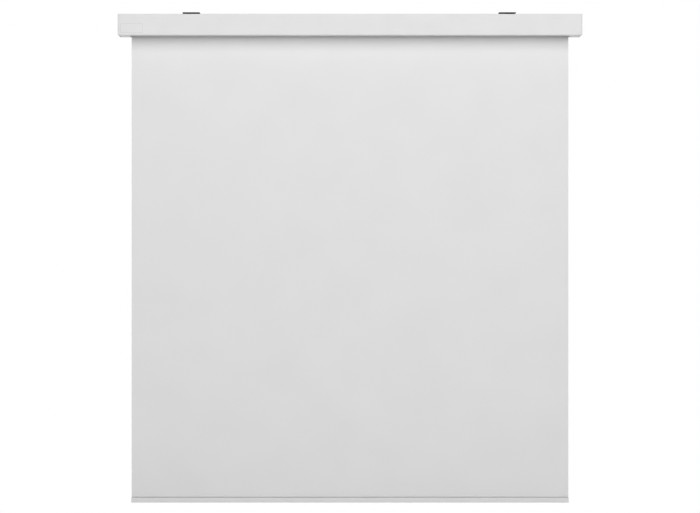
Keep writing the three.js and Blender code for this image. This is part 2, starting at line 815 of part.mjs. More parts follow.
// The drive wheel: hub on the motor's shaft, spokes, rim, and ribs that grip the tube
function driveWheel() {
  const from = motorToX + runGap;
  const to = from + wheelLength;
  const fit = tubeBore - seatGap;
  const rimOuter = fit - wheelRibHeight;
  const rim = [
    [rimOuter - wheelRim, from],
    [rimOuter, from],
    [rimOuter, to],
    [rimOuter - wheelRim, to],
    [rimOuter - wheelRim, from],
  ];
  const parts = [turned(rim, rollerY, rollerZ), rodX(wheelHubRadius, from, to, rollerY,
    rollerZ, roundSteps)];
  for (let i = 0; i < wheelSpokes; i += 1) {
    const spoke = block(from, to, wheelHubRadius / 2, rimOuter - wheelRim / 2,
      -wheelSpokeWidth / 2, wheelSpokeWidth / 2);
    spoke.rotateX((i + 0.5) * 2 * Math.PI / wheelSpokes).translate(0, rollerY, rollerZ);
    parts.push(spoke);
  }
  for (let i = 0; i < wheelRibs; i += 1) {
    const rib = block(from, to, rimOuter - wheelRim / 2, fit,
      -wheelRibWidth / 2, wheelRibWidth / 2);
    rib.rotateX((i + 0.5) * 2 * Math.PI / wheelRibs).translate(0, rollerY, rollerZ);
    parts.push(rib);
  }
  const bore = alongX(shaftSection(seatGap), from - cutOver, to + cutOver, 4);
  const body = cut(joined(...parts), bore, pocketNotch(from - cutOver, to + cutOver));
  return named('drive_wheel', surface(body), 'greyPlastic');
}

function idlePlug() {
  const from = tubeHalf - idlePlugLength;
  const to = tubeHalf + idlePlugFlange;
  const fit = tubeBore - seatGap;
  const web = to - idlePlugFlange - wheelRim;
  const hub = idlePinRadius + seatGap + wheelRim;
  const bore = idlePinRadius + seatGap;
  const profile = [
    [bore, from],
    [hub, from],
    [hub, web],
    [fit - wheelRim, web],
    [fit - wheelRim, from],
    [fit, from],
    [fit, tubeHalf],
    [tubeRadius, tubeHalf],
    [tubeRadius, to],
    [bore, to],
    [bore, from],
  ];
  const spokes = [];
  for (let i = 0; i < wheelSpokes; i += 1) {
    const spoke = block(from, to - idlePlugFlange, idlePinRadius + seatGap + wheelRim / 2,
      fit - wheelRim / 2, -wheelSpokeWidth / 2, wheelSpokeWidth / 2);
    spoke.rotateX((i + 0.5) * 2 * Math.PI / wheelSpokes).translate(0, rollerY, rollerZ);
    spokes.push(spoke);
  }
  const body = cut(joined(turned(profile, rollerY, rollerZ), ...spokes),
    pocketNotch(from - cutOver, tubeHalf));
  return named('idle_plug', surface(body), 'greyPlastic');
}

const bushFromX = plateInnerX - bushLength;
const pinToX = plateInnerX - idlePinEndRoom;

function idlePin() {
  const from = tubeHalf - idlePlugLength;
  const profile = [
    [0, from],
    [idlePinRadius - idlePinChamfer, from],
    [idlePinRadius, from + idlePinChamfer],
    [idlePinRadius, pinToX - idlePinChamfer],
    [idlePinRadius - idlePinChamfer, pinToX],
    [0, pinToX],
  ];
  return named('idle_pin', surface(solid(turned(profile, rollerY, rollerZ))), 'zincSteel');
}

function idleBush() {
  const bore = idlePinRadius + runGap;
  const spigotTo = plateInnerX + plateThickness - seatGap;
  const profile = [
    [0, pinToX + runGap],
    [bore, pinToX + runGap],
    [bore, bushFromX],
    [bushRadius, bushFromX],
    [bushRadius, plateInnerX - bushFlangeThickness],
    [bushFlangeRadius, plateInnerX - bushFlangeThickness],
    [bushFlangeRadius, plateInnerX],
    [bushSpigotRadius, plateInnerX],
    [bushSpigotRadius, spigotTo],
    [0, spigotTo],
  ];
  return named('idle_bush', surface(solid(turned(profile, rollerY, rollerZ))),
    'naturalNylon');
}

// Fabric: the rod welded to its upper edge, the turns on the roller, the sheet that hangs

function edgeRod() {
  const z = rollerZ + grooveFloor + grooveDepth - seatGap / 2 - edgeRodRadius;
  const rod = rodX(edgeRodRadius, -fabricWidth / 2, fabricWidth / 2, rollerY, z, 12);
  return named('fabric_edge_rod', surface(solid(rod)), 'whitePlastic');
}

// The turns spiral in from the rear of the roller to the groove at its top
function fabricTurns() {
  const line = [];
  const stepCount = Math.round(turnsOnRoller * roundSteps);
  for (let i = 0; i <= stepCount; i += 1) {
    const share = i / stepCount;
    const angle = share * turnsOnRoller * 2 * Math.PI;
    const radius = windRadius - share * turnsOnRoller * turnPitch;
    line.push(new THREE.Vector2(
      rollerY + radius * Math.cos(angle), rollerZ + radius * Math.sin(angle)));
  }
  line.push(new THREE.Vector2(rollerY, rollerZ + tubeBore + seatGap));
  const band = alongX(bandOutline(line, fabricThickness), -fabricWidth / 2, fabricWidth / 2);
  return named('fabric_turns', surface(solid(band)), 'screenWhite');
}

const battenTop = barTop - barTrough - barWall - seatGap;

function screenFabric() {
  const sheet = block(-fabricWidth / 2, fabricWidth / 2,
    fabricY - fabricThickness / 2, fabricY + fabricThickness / 2,
    battenTop + seatGap, rollerZ - seatGap);
  return named('screen_fabric', surface(solid(sheet)), 'screenWhite');
}

// Bottom bar: an extrusion with an open trough, a batten chamber and a weight chamber

const chamberTop = barTop - barTrough - barWall;
const chamberFloor = chamberTop - barChamber;
const weightFloor = barBottom + barWall;

function barSection() {
  return roundedSection(fabricY - barDepth / 2, fabricY + barDepth / 2, barBottom, barTop,
    barBottomRadius, barTopRadius);
}

function bottomBar() {
  const half = barHalf - plugThickness;
  const near = fabricY - barInner;
  const far = fabricY + barInner;
  const room = (fromZ, toZ) => block(-half - cutOver, half + cutOver, near, far, fromZ, toZ);
  const trough = room(barTop - barTrough, barTop + cutOver);
  const batten = room(chamberFloor, chamberTop);
  const inset = barBottomRadius - barWall;
  const weight = alongX(roundedSection(near, far, weightFloor, chamberFloor - barWeb,
    inset, 0), -half - cutOver, half + cutOver, 4);
  const mouth = block(-half - cutOver, half + cutOver, fabricY - mouthHalf,
    fabricY + mouthHalf, chamberTop - barWall / 2, barTop - barTrough + barWall / 2);
  const body = cut(joined(alongX(barSection(), -half, half, 4)), trough, batten, weight, mouth);
  return named('bottom_bar', surface(body), 'whitePaint');
}

function barPlug(name, side) {
  const from = barHalf - plugThickness;
  const to = barHalf;
  const spread = (a, b) => [Math.min(side * a, side * b), Math.max(side * a, side * b)];
  const [outerFrom, outerTo] = spread(from, to);
  const [spigotFrom, spigotTo] = spread(from - plugSpigot, from + plugThickness / 2);
  const near = fabricY - barInner;
  const far = fabricY + barInner;
  const spigot = block(spigotFrom, spigotTo, near + barBottomRadius / 2,
    far - barBottomRadius / 2, weightFloor + seatGap, chamberFloor - barWeb - seatGap);
  const [cutFrom, cutTo] = spread(from - cutOver, to + cutOver);
  const trough = block(cutFrom, cutTo, near, far, barTop - barTrough, barTop + cutOver);
  const slit = block(cutFrom, cutTo, fabricY - mouthHalf, fabricY + mouthHalf,
    chamberTop - seatGap, barTop);
  const body = cut(joined(alongX(barSection(), outerFrom, outerTo, 4), spigot), trough, slit);
  return named(name, surface(body), 'whitePlastic');
}

function barBatten() {
  const half = barHalf - plugThickness - seatGap;
  const batten = block(-half, half, fabricY - barInner + seatGap, fabricY + barInner - seatGap,
    battenTop - battenHeight, battenTop);
  return named('fabric_batten', surface(solid(batten)), 'greyPlastic');
}

function barWeight() {
  const half = barHalf - plugThickness - plugSpigot - seatGap;
  const inset = barBottomRadius - barWall;
  const section = roundedSection(fabricY - barInner + seatGap, fabricY + barInner - seatGap,
    weightFloor, weightFloor + weightHeight, inset, 0);
  return named('weight_bar', surface(solid(alongX(section, -half, half, 4))), 'zincSteel');
}

// Receiver box, carried by the rails on the back wall

const boxFromX = -caseHalf + boxFromCaseEnd;
const boxToX = boxFromX + boxLength;
const boxBackY = innerY - seatGap;
const boxFrontY = boxBackY - boxWall - boardRise - boardThickness
  - Math.max(relayDepth, terminalDepth) - boxLidRoom - boxLidThickness;
const boxNarrow = railLip + seatGap;
const railFaceY = innerY - railReach;
const flangeFrontY = railFaceY + railWidth + seatGap;

// The back flange fits between the rails, the body stands out between their lips
function receiverBase() {
  const flange = block(boxFromX, boxToX, flangeFrontY, boxBackY, boxBottom, boxTop);
  const outline = (inset) => roundedSection(boxFromX + inset, boxToX - inset,
    boxBottom + boxNarrow + inset, boxTop - boxNarrow - inset, boxCornerRadius);
  const tub = alongY(outline(0), boxFrontY + boxLidThickness, flangeFrontY + seatGap, 4);
  const hollow = alongY(outline(boxWall), boxFrontY - cutOver, boxBackY - boxWall, 4);
  const gland = rodX(leadRadius + boxGlandRoom, boxFromX - cutOver, boxFromX + boxWall + cutOver,
    leadY, leadRunZ);
  const body = cut(joined(flange, tub), hollow, gland);
  const posts = boardPosts().map(([x, z]) => alongY(
    new THREE.Shape().absarc(x, z, boardPost / 2, 0, 2 * Math.PI),
    boardBackY, boxBackY - boxWall / 2, 3));
  return named('receiver_base', surface(body.add(joined(...posts))), 'blackPlastic');
}

const boardBackY = boxBackY - boxWall - boardRise;
const boardFrontY = boardBackY - boardThickness;
const boardInset = boxWall + boardMargin;

function boardPosts() {
  const inset = boardInset + boardPost;
  return [[boxFromX + inset, boxTop - boxNarrow - inset],
    [boxToX - inset, boxBottom + boxNarrow + inset],
    [boxFromX + inset, boxBottom + boxNarrow + inset],
    [boxToX - inset, boxTop - boxNarrow - inset]];
}

function receiverBoard() {
  const outline = roundedSection(boxFromX + boardInset, boxToX - boardInset,
    boxBottom + boxNarrow + boardInset, boxTop - boxNarrow - boardInset, boxCornerRadius / 2);
  const board = alongY(outline, boardFrontY, boardBackY, 3);
  return named('receiver_board', surface(solid(board)), 'boardGreen');
}

const terminalFromX = boxFromX + boardInset + terminalInset;

// The terminal block's front edges slope where its screws are reached
function terminalBlock() {
  const front = boardFrontY - terminalDepth;
  const low = leadRunZ - terminalHeight / 2;
  const high = leadRunZ + terminalHeight / 2;
  const section = new THREE.Shape([
    new THREE.Vector2(boardFrontY, low),
    new THREE.Vector2(boardFrontY, high),
    new THREE.Vector2(front + terminalChamfer, high),
    new THREE.Vector2(front, high - terminalChamfer),
    new THREE.Vector2(front, low + terminalChamfer),
    new THREE.Vector2(front + terminalChamfer, low),
  ]);
  const block = alongX(section, terminalFromX, terminalFromX + terminalLength);
  return named('terminal_block', surface(solid(block)), 'greyPlastic');
}

function relay(name, place) {
  const from = terminalFromX + terminalLength + place * relaySpacing
    - (relaySpacing + relayLength) / 2;
  const outline = roundedSection(from, from + relayLength,
    leadRunZ - relayHeight / 2, leadRunZ + relayHeight / 2, relayEdge);
  const can = alongY(outline, boardFrontY - relayDepth, boardFrontY, 2);
  return named(name, surface(solid(can)), 'blackPlastic');
}

function receiverLid() {
  const outline = (inset) => roundedSection(boxFromX + inset, boxToX - inset,
    boxBottom + boxNarrow + inset, boxTop - boxNarrow - inset, boxCornerRadius);
  const face = alongY(outline(0), boxFrontY, boxFrontY + boxLidThickness, 4);
  const lipInset = boxWall + seatGap;
  const lip = alongY(outline(lipInset), boxFrontY + boxLidThickness / 2,
    boxFrontY + boxLidThickness + boxLidLip, 4);
  const lipHollow = alongY(outline(lipInset + boxWall), boxFrontY + boxLidThickness,
    boxFrontY + boxLidThickness + boxLidLip + cutOver, 4);
  return named('receiver_lid', surface(cut(joined(face, lip), lipHollow)), 'blackPlastic');
}

// Lead: out of the motor head to the rear, round one bend and along the wall into the box

const leadBossHalf = leadRadius + leadBossWall;
const leadX = headFromX + headLength / 2;
const leadExitY = rollerY + headRadius + clipWall;
const leadExitZ = rollerZ;
const leadY = boardFrontY - leadRadius - seatGap;
const leadRunZ = leadExitZ;

function motorLead() {
  const corner = Math.min(leadBend, leadY - leadExitY - 2 * seatGap);
  const path = new THREE.CurvePath();
  const start = new THREE.Vector3(leadX, leadExitY + seatGap, leadExitZ);
  const beforeBend = new THREE.Vector3(leadX, leadY - corner, leadExitZ);
  const bendPoint = new THREE.Vector3(leadX, leadY, leadRunZ);
  const afterBend = new THREE.Vector3(leadX + corner, leadY, leadRunZ);
  const end = new THREE.Vector3(terminalFromX - seatGap, leadY, leadRunZ);
  path.add(new THREE.LineCurve3(start, beforeBend));
  path.add(new THREE.QuadraticBezierCurve3(beforeBend, bendPoint, afterBend));
  path.add(new THREE.LineCurve3(afterBend, end));
  const section = new THREE.Shape().absarc(0, 0, leadRadius, 0, 2 * Math.PI);
  const lead = new THREE.ExtrudeGeometry(section, {
    steps: leadSteps, extrudePath: path, curveSegments: 5,
  });
  return named('motor_lead', surface(solid(lead)), 'rubber');
}

// Clip for the lead, standing in the rails
function leadClip() {
  const middle = (leadX + leadBend + boxFromX) / 2;
  const from = middle - clipWidth / 2;
  const to = middle + clipWidth / 2;
  const base = block(from, to, flangeFrontY, boxBackY, boxBottom, boxTop);
  const ring = leadRadius + seatGap + clipWall;
  const collar = rodX(ring, from, to, leadY, leadRunZ);
  const foot = block(from, to, leadY, flangeFrontY + seatGap,
    leadRunZ - ring, leadRunZ + ring);
  const hole = rodX(leadRadius + seatGap, from - cutOver, to + cutOver, leadY, leadRunZ);
  const body = cut(joined(base, foot, collar), hole);
  return named('lead_clip', surface(body), 'greyPlastic');
}

const grommetX = -caseHalf + grommetFromCaseEnd;
const grommetY = portY - portRadius - grommetToPort - grommetFlangeRadius;

function cordGrommet() {
  const above = caseTop + grommetFlangeThickness;
  const below = innerTop - grommetFlangeThickness;
  const points = [
    [grommetBoreRadius, below],
    [grommetFlangeRadius, below],
    [grommetFlangeRadius, innerTop],
    [grommetNeckRadius, innerTop],
    [grommetNeckRadius, caseTop],
    [grommetFlangeRadius, caseTop],
    [grommetFlangeRadius, above],
    [grommetBoreRadius, above],
    [grommetBoreRadius, below],
  ].map(([radius, z]) => new THREE.Vector2(radius, z));
  const ring = new THREE.LatheGeometry(points, 24);
  ring.rotateX(Math.PI / 2).translate(grommetX, grommetY, 0);
  return named('cord_grommet', surface(solid(ring)), 'rubber');
}

// Hanging brackets: an angle of steel, and the bolt, washer and nut that clamp it to the case

const bracketFrontY = -caseDepth / 2 + bracketSetback;
const bracketBackY = caseDepth / 2 + bracketWallGap + bracketThickness;

function angleSection() {
  const outer = bracketBendRadius + bracketThickness;
  const bendY = bracketBackY - outer;
  const bendZ = -outer;
  const shape = new THREE.Shape();
  shape.moveTo(bracketFrontY, -bracketThickness);
  shape.lineTo(bendY, -bracketThickness);
  shape.absarc(bendY, bendZ, bracketBendRadius, Math.PI / 2, 0, true);
  shape.lineTo(bracketBackY - bracketThickness, -bracketWallLeg);
  shape.lineTo(bracketBackY, -bracketWallLeg);
  shape.absarc(bendY, bendZ, outer, 0, Math.PI / 2);
  shape.lineTo(bracketFrontY, 0);
  return shape;
}

function hangerBracket(name, x) {
  const half = bracketWidth / 2;
  let body = joined(alongX(angleSection(), x - half, x + half, 3));
  const trimTop = upZ(roundedSection(x - half, x + half, bracketFrontY,
    bracketBackY + bracketCornerRadius + cutOver, bracketCornerRadius),
  -bracketThickness - cutOver, cutOver);
  const legKeep = block(x - half, x + half, bracketFrontY + bracketCornerRadius + cutOver,
    bracketBackY, -bracketWallLeg - cutOver, cutOver);
  body = body.intersect(joined(trimTop, legKeep));
  const cuts = [rodZ(boltRadius + seatGap, -bracketThickness - cutOver, cutOver, x, 0)];
  for (const side of [-1, 1]) {
    cuts.push(upZ(slotOutline(x + side * ceilingSlotSpacing / 2,
      bracketFrontY + ceilingSlotBehindEdge, ceilingSlotWidth, ceilingSlotLength),
    -bracketThickness - cutOver, cutOver, 4));
    cuts.push(alongY(slotOutline(x + side * wallSlotSpacing / 2,
      -(bracketThickness + bracketWallLeg) / 2, wallSlotWidth, wallSlotLength),
    bracketBackY - bracketThickness - cutOver, bracketBackY + cutOver, 4));
  }
  return named(name, surface(cut(body, ...cuts)), 'blackPaint');
}

function hangerBolt(name, x) {
  const headTop = innerTop - seatGap;
  const headBottom = innerTop - channelHeight + seatGap;
  const half = boltHeadWidth / 2;
  const head = block(x - half, x + half, -half, half, headBottom, headTop);
  const shank = rodZ(boltRadius, headTop - (headTop - headBottom) / 2, -seatGap, x, 0);
  return named(name, surface(joined(head, shank)), 'zincSteel');
}

const washerFromZ = caseTop + seatGap;
const nutFromZ = washerFromZ + washerThickness;

function hangerWasher(name, x) {
  const disc = joined(rodZ(washerRadius, washerFromZ, nutFromZ, x, 0, 20));
  const hole = rodZ(boltRadius + seatGap, washerFromZ - cutOver, nutFromZ + cutOver, x, 0);
  return named(name, surface(cut(disc, hole)), 'zincSteel');
}

function hangerNut(name, x) {
  const corner = nutAcrossFlats / 2 / Math.cos(Math.PI / 6);
  const hexagon = joined(rodZ(corner, nutFromZ, nutFromZ + nutHeight, x, 0, 6));
  const hole = rodZ(boltRadius + seatGap, nutFromZ - cutOver, nutFromZ + nutHeight + cutOver,
    x, 0);
  return named(name, surface(cut(hexagon, hole)), 'zincSteel');
}

// Assembly: one group for each body that moves by itself

const caseGroup = new THREE.Group();
caseGroup.add(
  caseProfile(),
  bottomCover(),
  endCap('end_cap_left', -1),
  endCap('end_cap_right', 1),
  motorSidePlate(),
  idleSidePlate(),
  idleBush(),
  motorHead(),
  counterPin(),
  motorTube(),
  receiverBase(),
  receiverLid(),
  receiverBoard(),
  terminalBlock(),
  relay('relay_up', 1),
  relay('relay_down', 2),
  motorLead(),
  leadClip(),
  cordGrommet(),
);

const counter = new THREE.Group();
counter.add(counterPinion());

const limitScrews = new THREE.Group();
limitScrews.add(
  limitScrew('limit_screw_up', limitPlaces[0], 'yellowPlastic'),
  limitScrew('limit_screw_down', limitPlaces[1], 'whitePlastic'),
);

const roller = new THREE.Group();
roller.add(
  rollerTube(),
  motorShaft(),
  driveWheel(),
  limitCrown(),
  idlePlug(),
  idlePin(),
  edgeRod(),
  fabricTurns(),
);

const bottom = new THREE.Group();
bottom.add(
  screenFabric(),
  bottomBar(),
  barBatten(),
  barWeight(),
  barPlug('bar_plug_left', -1),
  barPlug('bar_plug_right', 1),
);

const screen = new THREE.Group();
screen.add(caseGroup, counter, limitScrews, roller, bottom);

const bracketPlaces = {
  left: leftBracketFromCaseEnd - caseHalf,
  right: caseHalf - rightBracketFromCaseEnd,
};

for (const [word, x] of Object.entries(bracketPlaces)) {
  const bracket = new THREE.Group();
  bracket.add(
    hangerBracket(`hanger_bracket_${word}`, x),
    hangerBolt(`hanger_bolt_${word}`, x),
    hangerWasher(`hanger_washer_${word}`, x),
    hangerNut(`hanger_nut_${word}`, x),
  );
  screen.add(bracket);
}

export default screen;
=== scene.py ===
# %% [markdown]
# Motorized projector screen with its fabric lowered.
# The packed model holds every rigid piece at its real size: the extruded case, the roller
# with its motor, the bottom bar and the hanging brackets. This script gives those pieces
# their finishes, makes the fabric and the small pieces, and sets the photographer's studio.
# All lengths are metres: +X to the viewer's right, +Y to the wall behind, +Z up, and z = 0
# is the ceiling.

# %% Load the packed model
import json
import math
import bpy
import numpy as np
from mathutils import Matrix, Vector


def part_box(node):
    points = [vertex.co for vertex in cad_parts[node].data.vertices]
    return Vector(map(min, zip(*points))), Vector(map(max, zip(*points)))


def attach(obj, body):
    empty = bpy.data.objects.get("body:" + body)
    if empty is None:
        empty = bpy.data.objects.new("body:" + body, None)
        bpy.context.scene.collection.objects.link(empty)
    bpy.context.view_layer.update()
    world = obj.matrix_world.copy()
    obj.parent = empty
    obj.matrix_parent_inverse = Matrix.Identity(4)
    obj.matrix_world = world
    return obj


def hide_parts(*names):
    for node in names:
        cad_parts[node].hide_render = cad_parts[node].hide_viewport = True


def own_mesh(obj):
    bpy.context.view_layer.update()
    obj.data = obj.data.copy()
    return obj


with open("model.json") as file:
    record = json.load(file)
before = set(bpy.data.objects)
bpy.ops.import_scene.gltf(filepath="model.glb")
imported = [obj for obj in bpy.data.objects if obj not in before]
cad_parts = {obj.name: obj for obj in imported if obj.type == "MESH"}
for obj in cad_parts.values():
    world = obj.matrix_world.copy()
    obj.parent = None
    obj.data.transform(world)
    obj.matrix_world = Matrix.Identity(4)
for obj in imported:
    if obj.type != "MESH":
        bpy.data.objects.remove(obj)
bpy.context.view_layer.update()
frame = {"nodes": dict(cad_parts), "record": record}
nodes = frame["nodes"]
print("pieces in the packed model:", len(nodes))

# %% [markdown]
# The photograph is taken from straight in front, level with the middle of the screen.
# The case's ends and the fabric's edges lie 62 mm apart in depth, and how far apart they
# look fixes the distance of the camera: 7.6 m in front of the case. The lens follows from
# the case's width in the frame. A long lens far away, not a wide one near by, is what
# keeps the edges of a product upright in a catalogue picture.

# %% Camera
PHOTO_WIDTH = 700
CASE_WIDTH_IN_PHOTO = 464.7
SENSOR_WIDTH = 36.0
CAMERA_TO_CASE = 7.598
CAMERA_BELOW_CASE_TOP = 0.99235

case_low, case_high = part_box("end_cap_left")[0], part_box("end_cap_right")[1]
case_width = case_high.x - case_low.x
focal_pixels = CASE_WIDTH_IN_PHOTO * CAMERA_TO_CASE / case_width

camera_data = bpy.data.cameras.new("photo_camera")
camera_data.sensor_width = SENSOR_WIDTH
camera_data.lens = SENSOR_WIDTH * focal_pixels / PHOTO_WIDTH
camera = bpy.data.objects.new("photo_camera", camera_data)
camera.location = (0.0, case_low.y - CAMERA_TO_CASE, case_high.z - CAMERA_BELOW_CASE_TOP)
camera.rotation_euler = (math.pi / 2, 0.0, 0.0)
bpy.context.scene.collection.objects.link(camera)
bpy.context.scene.camera = camera
print("lens", round(camera_data.lens, 2), "mm, case", round(case_width, 4), "m wide")

# %% [markdown]
# A node tree reads best when each step is one line. This helper adds a node, sets its
# options, and either links a socket or sets a plain value on each input that is named.

# %% Helper for node trees
def add(tree, kind, inputs=None, **options):
    """Adds a node; inputs maps a socket's name or number to a value or to another socket."""
    node = tree.nodes.new(kind)
    for option, value in options.items():
        setattr(node, option, value)
    for socket, value in (inputs or {}).items():
        if isinstance(value, bpy.types.NodeSocket):
            tree.links.new(value, node.inputs[socket])
        else:
            node.inputs[socket].default_value = value
    return node


print("helper", add.__name__ + ":", add.__doc__)

# %% [markdown]
# The background of the photograph is pure white, yet the object isn't flooded with light.
# One world does both: rays from the camera, and rays that mirror in metal or pass through
# a clear piece, see white, while all others see a dim sky that only fills the shadows.

# %% World
SKY_FILL = 0.13
BACKGROUND = 1.0
WHITE = (1, 1, 1, 1)

world = bpy.data.worlds.new("studio")
world.use_nodes = True
sky = world.node_tree
sky.nodes.clear()
rays = add(sky, "ShaderNodeLightPath")
seen = add(sky, "ShaderNodeMath", {0: rays.outputs["Is Camera Ray"],
                                   1: rays.outputs["Is Glossy Ray"]}, operation="MAXIMUM")
seen = add(sky, "ShaderNodeMath", {0: seen.outputs[0],
                                   1: rays.outputs["Is Transmission Ray"]}, operation="MAXIMUM")
fill = add(sky, "ShaderNodeBackground", {"Color": WHITE, "Strength": SKY_FILL})
white = add(sky, "ShaderNodeBackground", {"Color": WHITE, "Strength": BACKGROUND})
both = add(sky, "ShaderNodeMixShader", {0: seen.outputs[0], 1: fill.outputs[0],
                                        2: white.outputs[0]})
add(sky, "ShaderNodeOutputWorld", {"Surface": both.outputs[0]})
bpy.context.scene.world = world
bpy.context.scene.view_settings.view_transform = "Standard"
print("world: white to the eye, fill", SKY_FILL)

# %% [markdown]
# The fabric is lightest at its top right and falls off evenly to its lower left, and the
# shadow under the case fades over about 60 mm, where a small lamp would draw a hard line.
# So a very large softbox hangs in front, to the right and above the line of sight. A white
# board on the floor before the screen throws light up under the case, and a second
# softbox does what the glowing backdrop does in the photograph: it lights the back. All
# of them are hidden from camera rays, so that none stands in the picture from any side.

# %% Lamps
KEY_POWER = 340.0
KEY_SIZE = (11.5, 4.6)
KEY_PLACE = (0.9, -4.2, 2.1)
KEY_AIM = (0.9, 0.0, 2.1)
BOARD_POWER = 38.0
BOARD_SIZE = (7.0, 3.6)
BOARD_PLACE = (0.0, -2.3, -2.35)
BOARD_AIM = (0.0, -2.3, 0.0)
BACK_POWER = 110.0
BACK_SIZE = (9.0, 4.0)
BACK_PLACE = (0.0, 4.6, 0.9)
BACK_AIM = (0.0, 0.0, -0.9)


def soft_lamp(name, power, size, place, aim):
    """A rectangular lamp of size metres and power watts that looks from place to aim."""
    light = bpy.data.lights.new(name, "AREA")
    light.shape = "RECTANGLE"
    light.size, light.size_y = size
    light.energy = power
    lamp = bpy.data.objects.new(name, light)
    lamp.location = place
    lamp.rotation_euler = (Vector(aim) - Vector(place)).to_track_quat("-Z", "Y").to_euler()
    lamp.visible_camera = False
    bpy.context.scene.collection.objects.link(lamp)
    print(name, size, "m,", power, "W")


soft_lamp("softbox", KEY_POWER, KEY_SIZE, KEY_PLACE, KEY_AIM)
soft_lamp("floor_board", BOARD_POWER, BOARD_SIZE, BOARD_PLACE, BOARD_AIM)
soft_lamp("back_softbox", BACK_POWER, BACK_SIZE, BACK_PLACE, BACK_AIM)

# %% [markdown]
# The screen hangs, so its floor is a real floor, 2.4 m below the ceiling. Nothing of it
# shows in the photograph. It throws light back up under the case and catches the object's
# soft shadow, as a pale studio floor does.

# %% Floor
CEILING_HEIGHT = 2.4
FLOOR_HALF_WIDTH = 3.2
FLOOR_FRONT = -4.2
FLOOR_BACK = 2.2

floor_mesh = bpy.data.meshes.new("floor")
floor_mesh.from_pydata([(-FLOOR_HALF_WIDTH, FLOOR_FRONT, -CEILING_HEIGHT),
                        (FLOOR_HALF_WIDTH, FLOOR_FRONT, -CEILING_HEIGHT),
                        (FLOOR_HALF_WIDTH, FLOOR_BACK, -CEILING_HEIGHT),
                        (-FLOOR_HALF_WIDTH, FLOOR_BACK, -CEILING_HEIGHT)], [], [(0, 1, 2, 3)])
floor = bpy.data.objects.new("floor", floor_mesh)
bpy.context.scene.collection.objects.link(floor)
print("floor at z =", -CEILING_HEIGHT)

# %% [markdown]
# A floor with an end would cut the white behind it with a hard line. So its paint fades to
# white with the distance from its middle, but only for camera rays: all other rays meet
# plain paint, and the light that the floor throws back stays as it is.

# %% Floor paint
FLOOR_TONE = (0.88, 0.88, 0.88, 1)
FLOOR_ROUGHNESS = 0.9
FADE_MIDDLE = (0.0, -0.4, -CEILING_HEIGHT)
FADE_FROM, FADE_TO = 0.6, 2.6

floor_paint = bpy.data.materials.new("floor_paint")
floor_paint.use_nodes = True
tree = floor_paint.node_tree
paint = tree.nodes["Principled BSDF"]
paint.inputs["Base Color"].default_value = FLOOR_TONE
paint.inputs["Roughness"].default_value = FLOOR_ROUGHNESS
place = add(tree, "ShaderNodeTexCoord")
from_middle = add(tree, "ShaderNodeVectorMath", {0: place.outputs["Object"], 1: FADE_MIDDLE},
                  operation="DISTANCE")
fade = add(tree, "ShaderNodeMapRange", {"Value": from_middle.outputs["Value"],
                                        "From Min": FADE_FROM, "From Max": FADE_TO},
           interpolation_type="SMOOTHSTEP")
rays = add(tree, "ShaderNodeLightPath")
fade = add(tree, "ShaderNodeMath", {0: fade.outputs[0], 1: rays.outputs["Is Camera Ray"]},
           operation="MULTIPLY")
white = add(tree, "ShaderNodeEmission", {"Strength": BACKGROUND})
both = add(tree, "ShaderNodeMixShader", {0: fade.outputs[0], 1: paint.outputs[0],
                                         2: white.outputs[0]})
tree.links.new(both.outputs[0], tree.nodes["Material Output"].inputs["Surface"])
floor_mesh.materials.append(floor_paint)
print("floor fades from", FADE_FROM, "to", FADE_TO, "m")

# %% [markdown]
# No finish on a real product is one flat colour. Paint has an orange peel and faint
# clouds, moulded plastic has a spark-eroded grain, drawn metal has lines. Each finish below
# is built from the same few steps, with sizes in metres so that the grain has its real
# scale. The first two steps start a material and lay a cloud of noise over it.

# %% A new material and its noise
def blank(name, even=None):
    """A Principled material and its tree; even gives the sockets that are alike all over."""
    material = bpy.data.materials.new(name)
    material.use_nodes = True
    shader = material.node_tree.nodes["Principled BSDF"]
    for socket, value in (even or {}).items():
        shader.inputs[socket].default_value = value
    return material, material.node_tree, shader


def cloud(tree, size, stretch=(1, 1, 1), detail=2.0, where="Object"):
    """Noise from 0 to 1 whose features are about size metres across, times stretch."""
    place = add(tree, "ShaderNodeTexCoord")
    scale = tuple(1 / (size * along) for along in stretch)
    mapped = add(tree, "ShaderNodeMapping", {"Vector": place.outputs[where], "Scale": scale})
    noise = add(tree, "ShaderNodeTexNoise", {"Vector": mapped.outputs[0], "Scale": 1.0,
                                             "Detail": detail})
    return noise.outputs["Fac"]


print("helper", cloud.__name__ + ":", cloud.__doc__)

# %% [markdown]
# Most of a noise lies near 0.5, so only its middle range is used, and what lies outside
# takes the value at the end. That range is carried over to a roughness, or to a dark and a
# light tone, which for most finishes are shares of one tone.

# %% Tone and roughness
MIDDLE_FROM, MIDDLE_TO = 0.3, 0.7


def between(tree, factor, low, high):
    """Carries a factor's middle range over to low and high, in a straight line."""
    carried = add(tree, "ShaderNodeMapRange", {
        "Value": factor, "From Min": MIDDLE_FROM, "From Max": MIDDLE_TO,
        "To Min": low, "To Max": high})
    return carried.outputs[0]


def around(tree, factor, middle, spread):
    """The same for a value that wanders round its middle, by the two ends of spread."""
    return between(tree, factor, middle + spread[0], middle + spread[1])


def tones(tree, factor, dark, light):
    """Blends from the dark to the light colour over the factor's middle range."""
    ramp = add(tree, "ShaderNodeValToRGB", {"Fac": factor})
    first, last = ramp.color_ramp.elements
    first.position, last.position = MIDDLE_FROM, MIDDLE_TO
    first.color, last.color = (*dark, 1), (*light, 1)
    return ramp.outputs["Color"]


def shares_of(tone, shares):
    """One colour for each share: every channel of the tone times that share."""
    return [tuple(share * channel for channel in tone) for share in shares]


print("noise is used from", MIDDLE_FROM, "to", MIDDLE_TO)

# %% [markdown]
# A relief is a bump with a depth in metres, and one relief can lie on another. It comes
# last, together with the tone and the roughness, when they are joined to the shader.

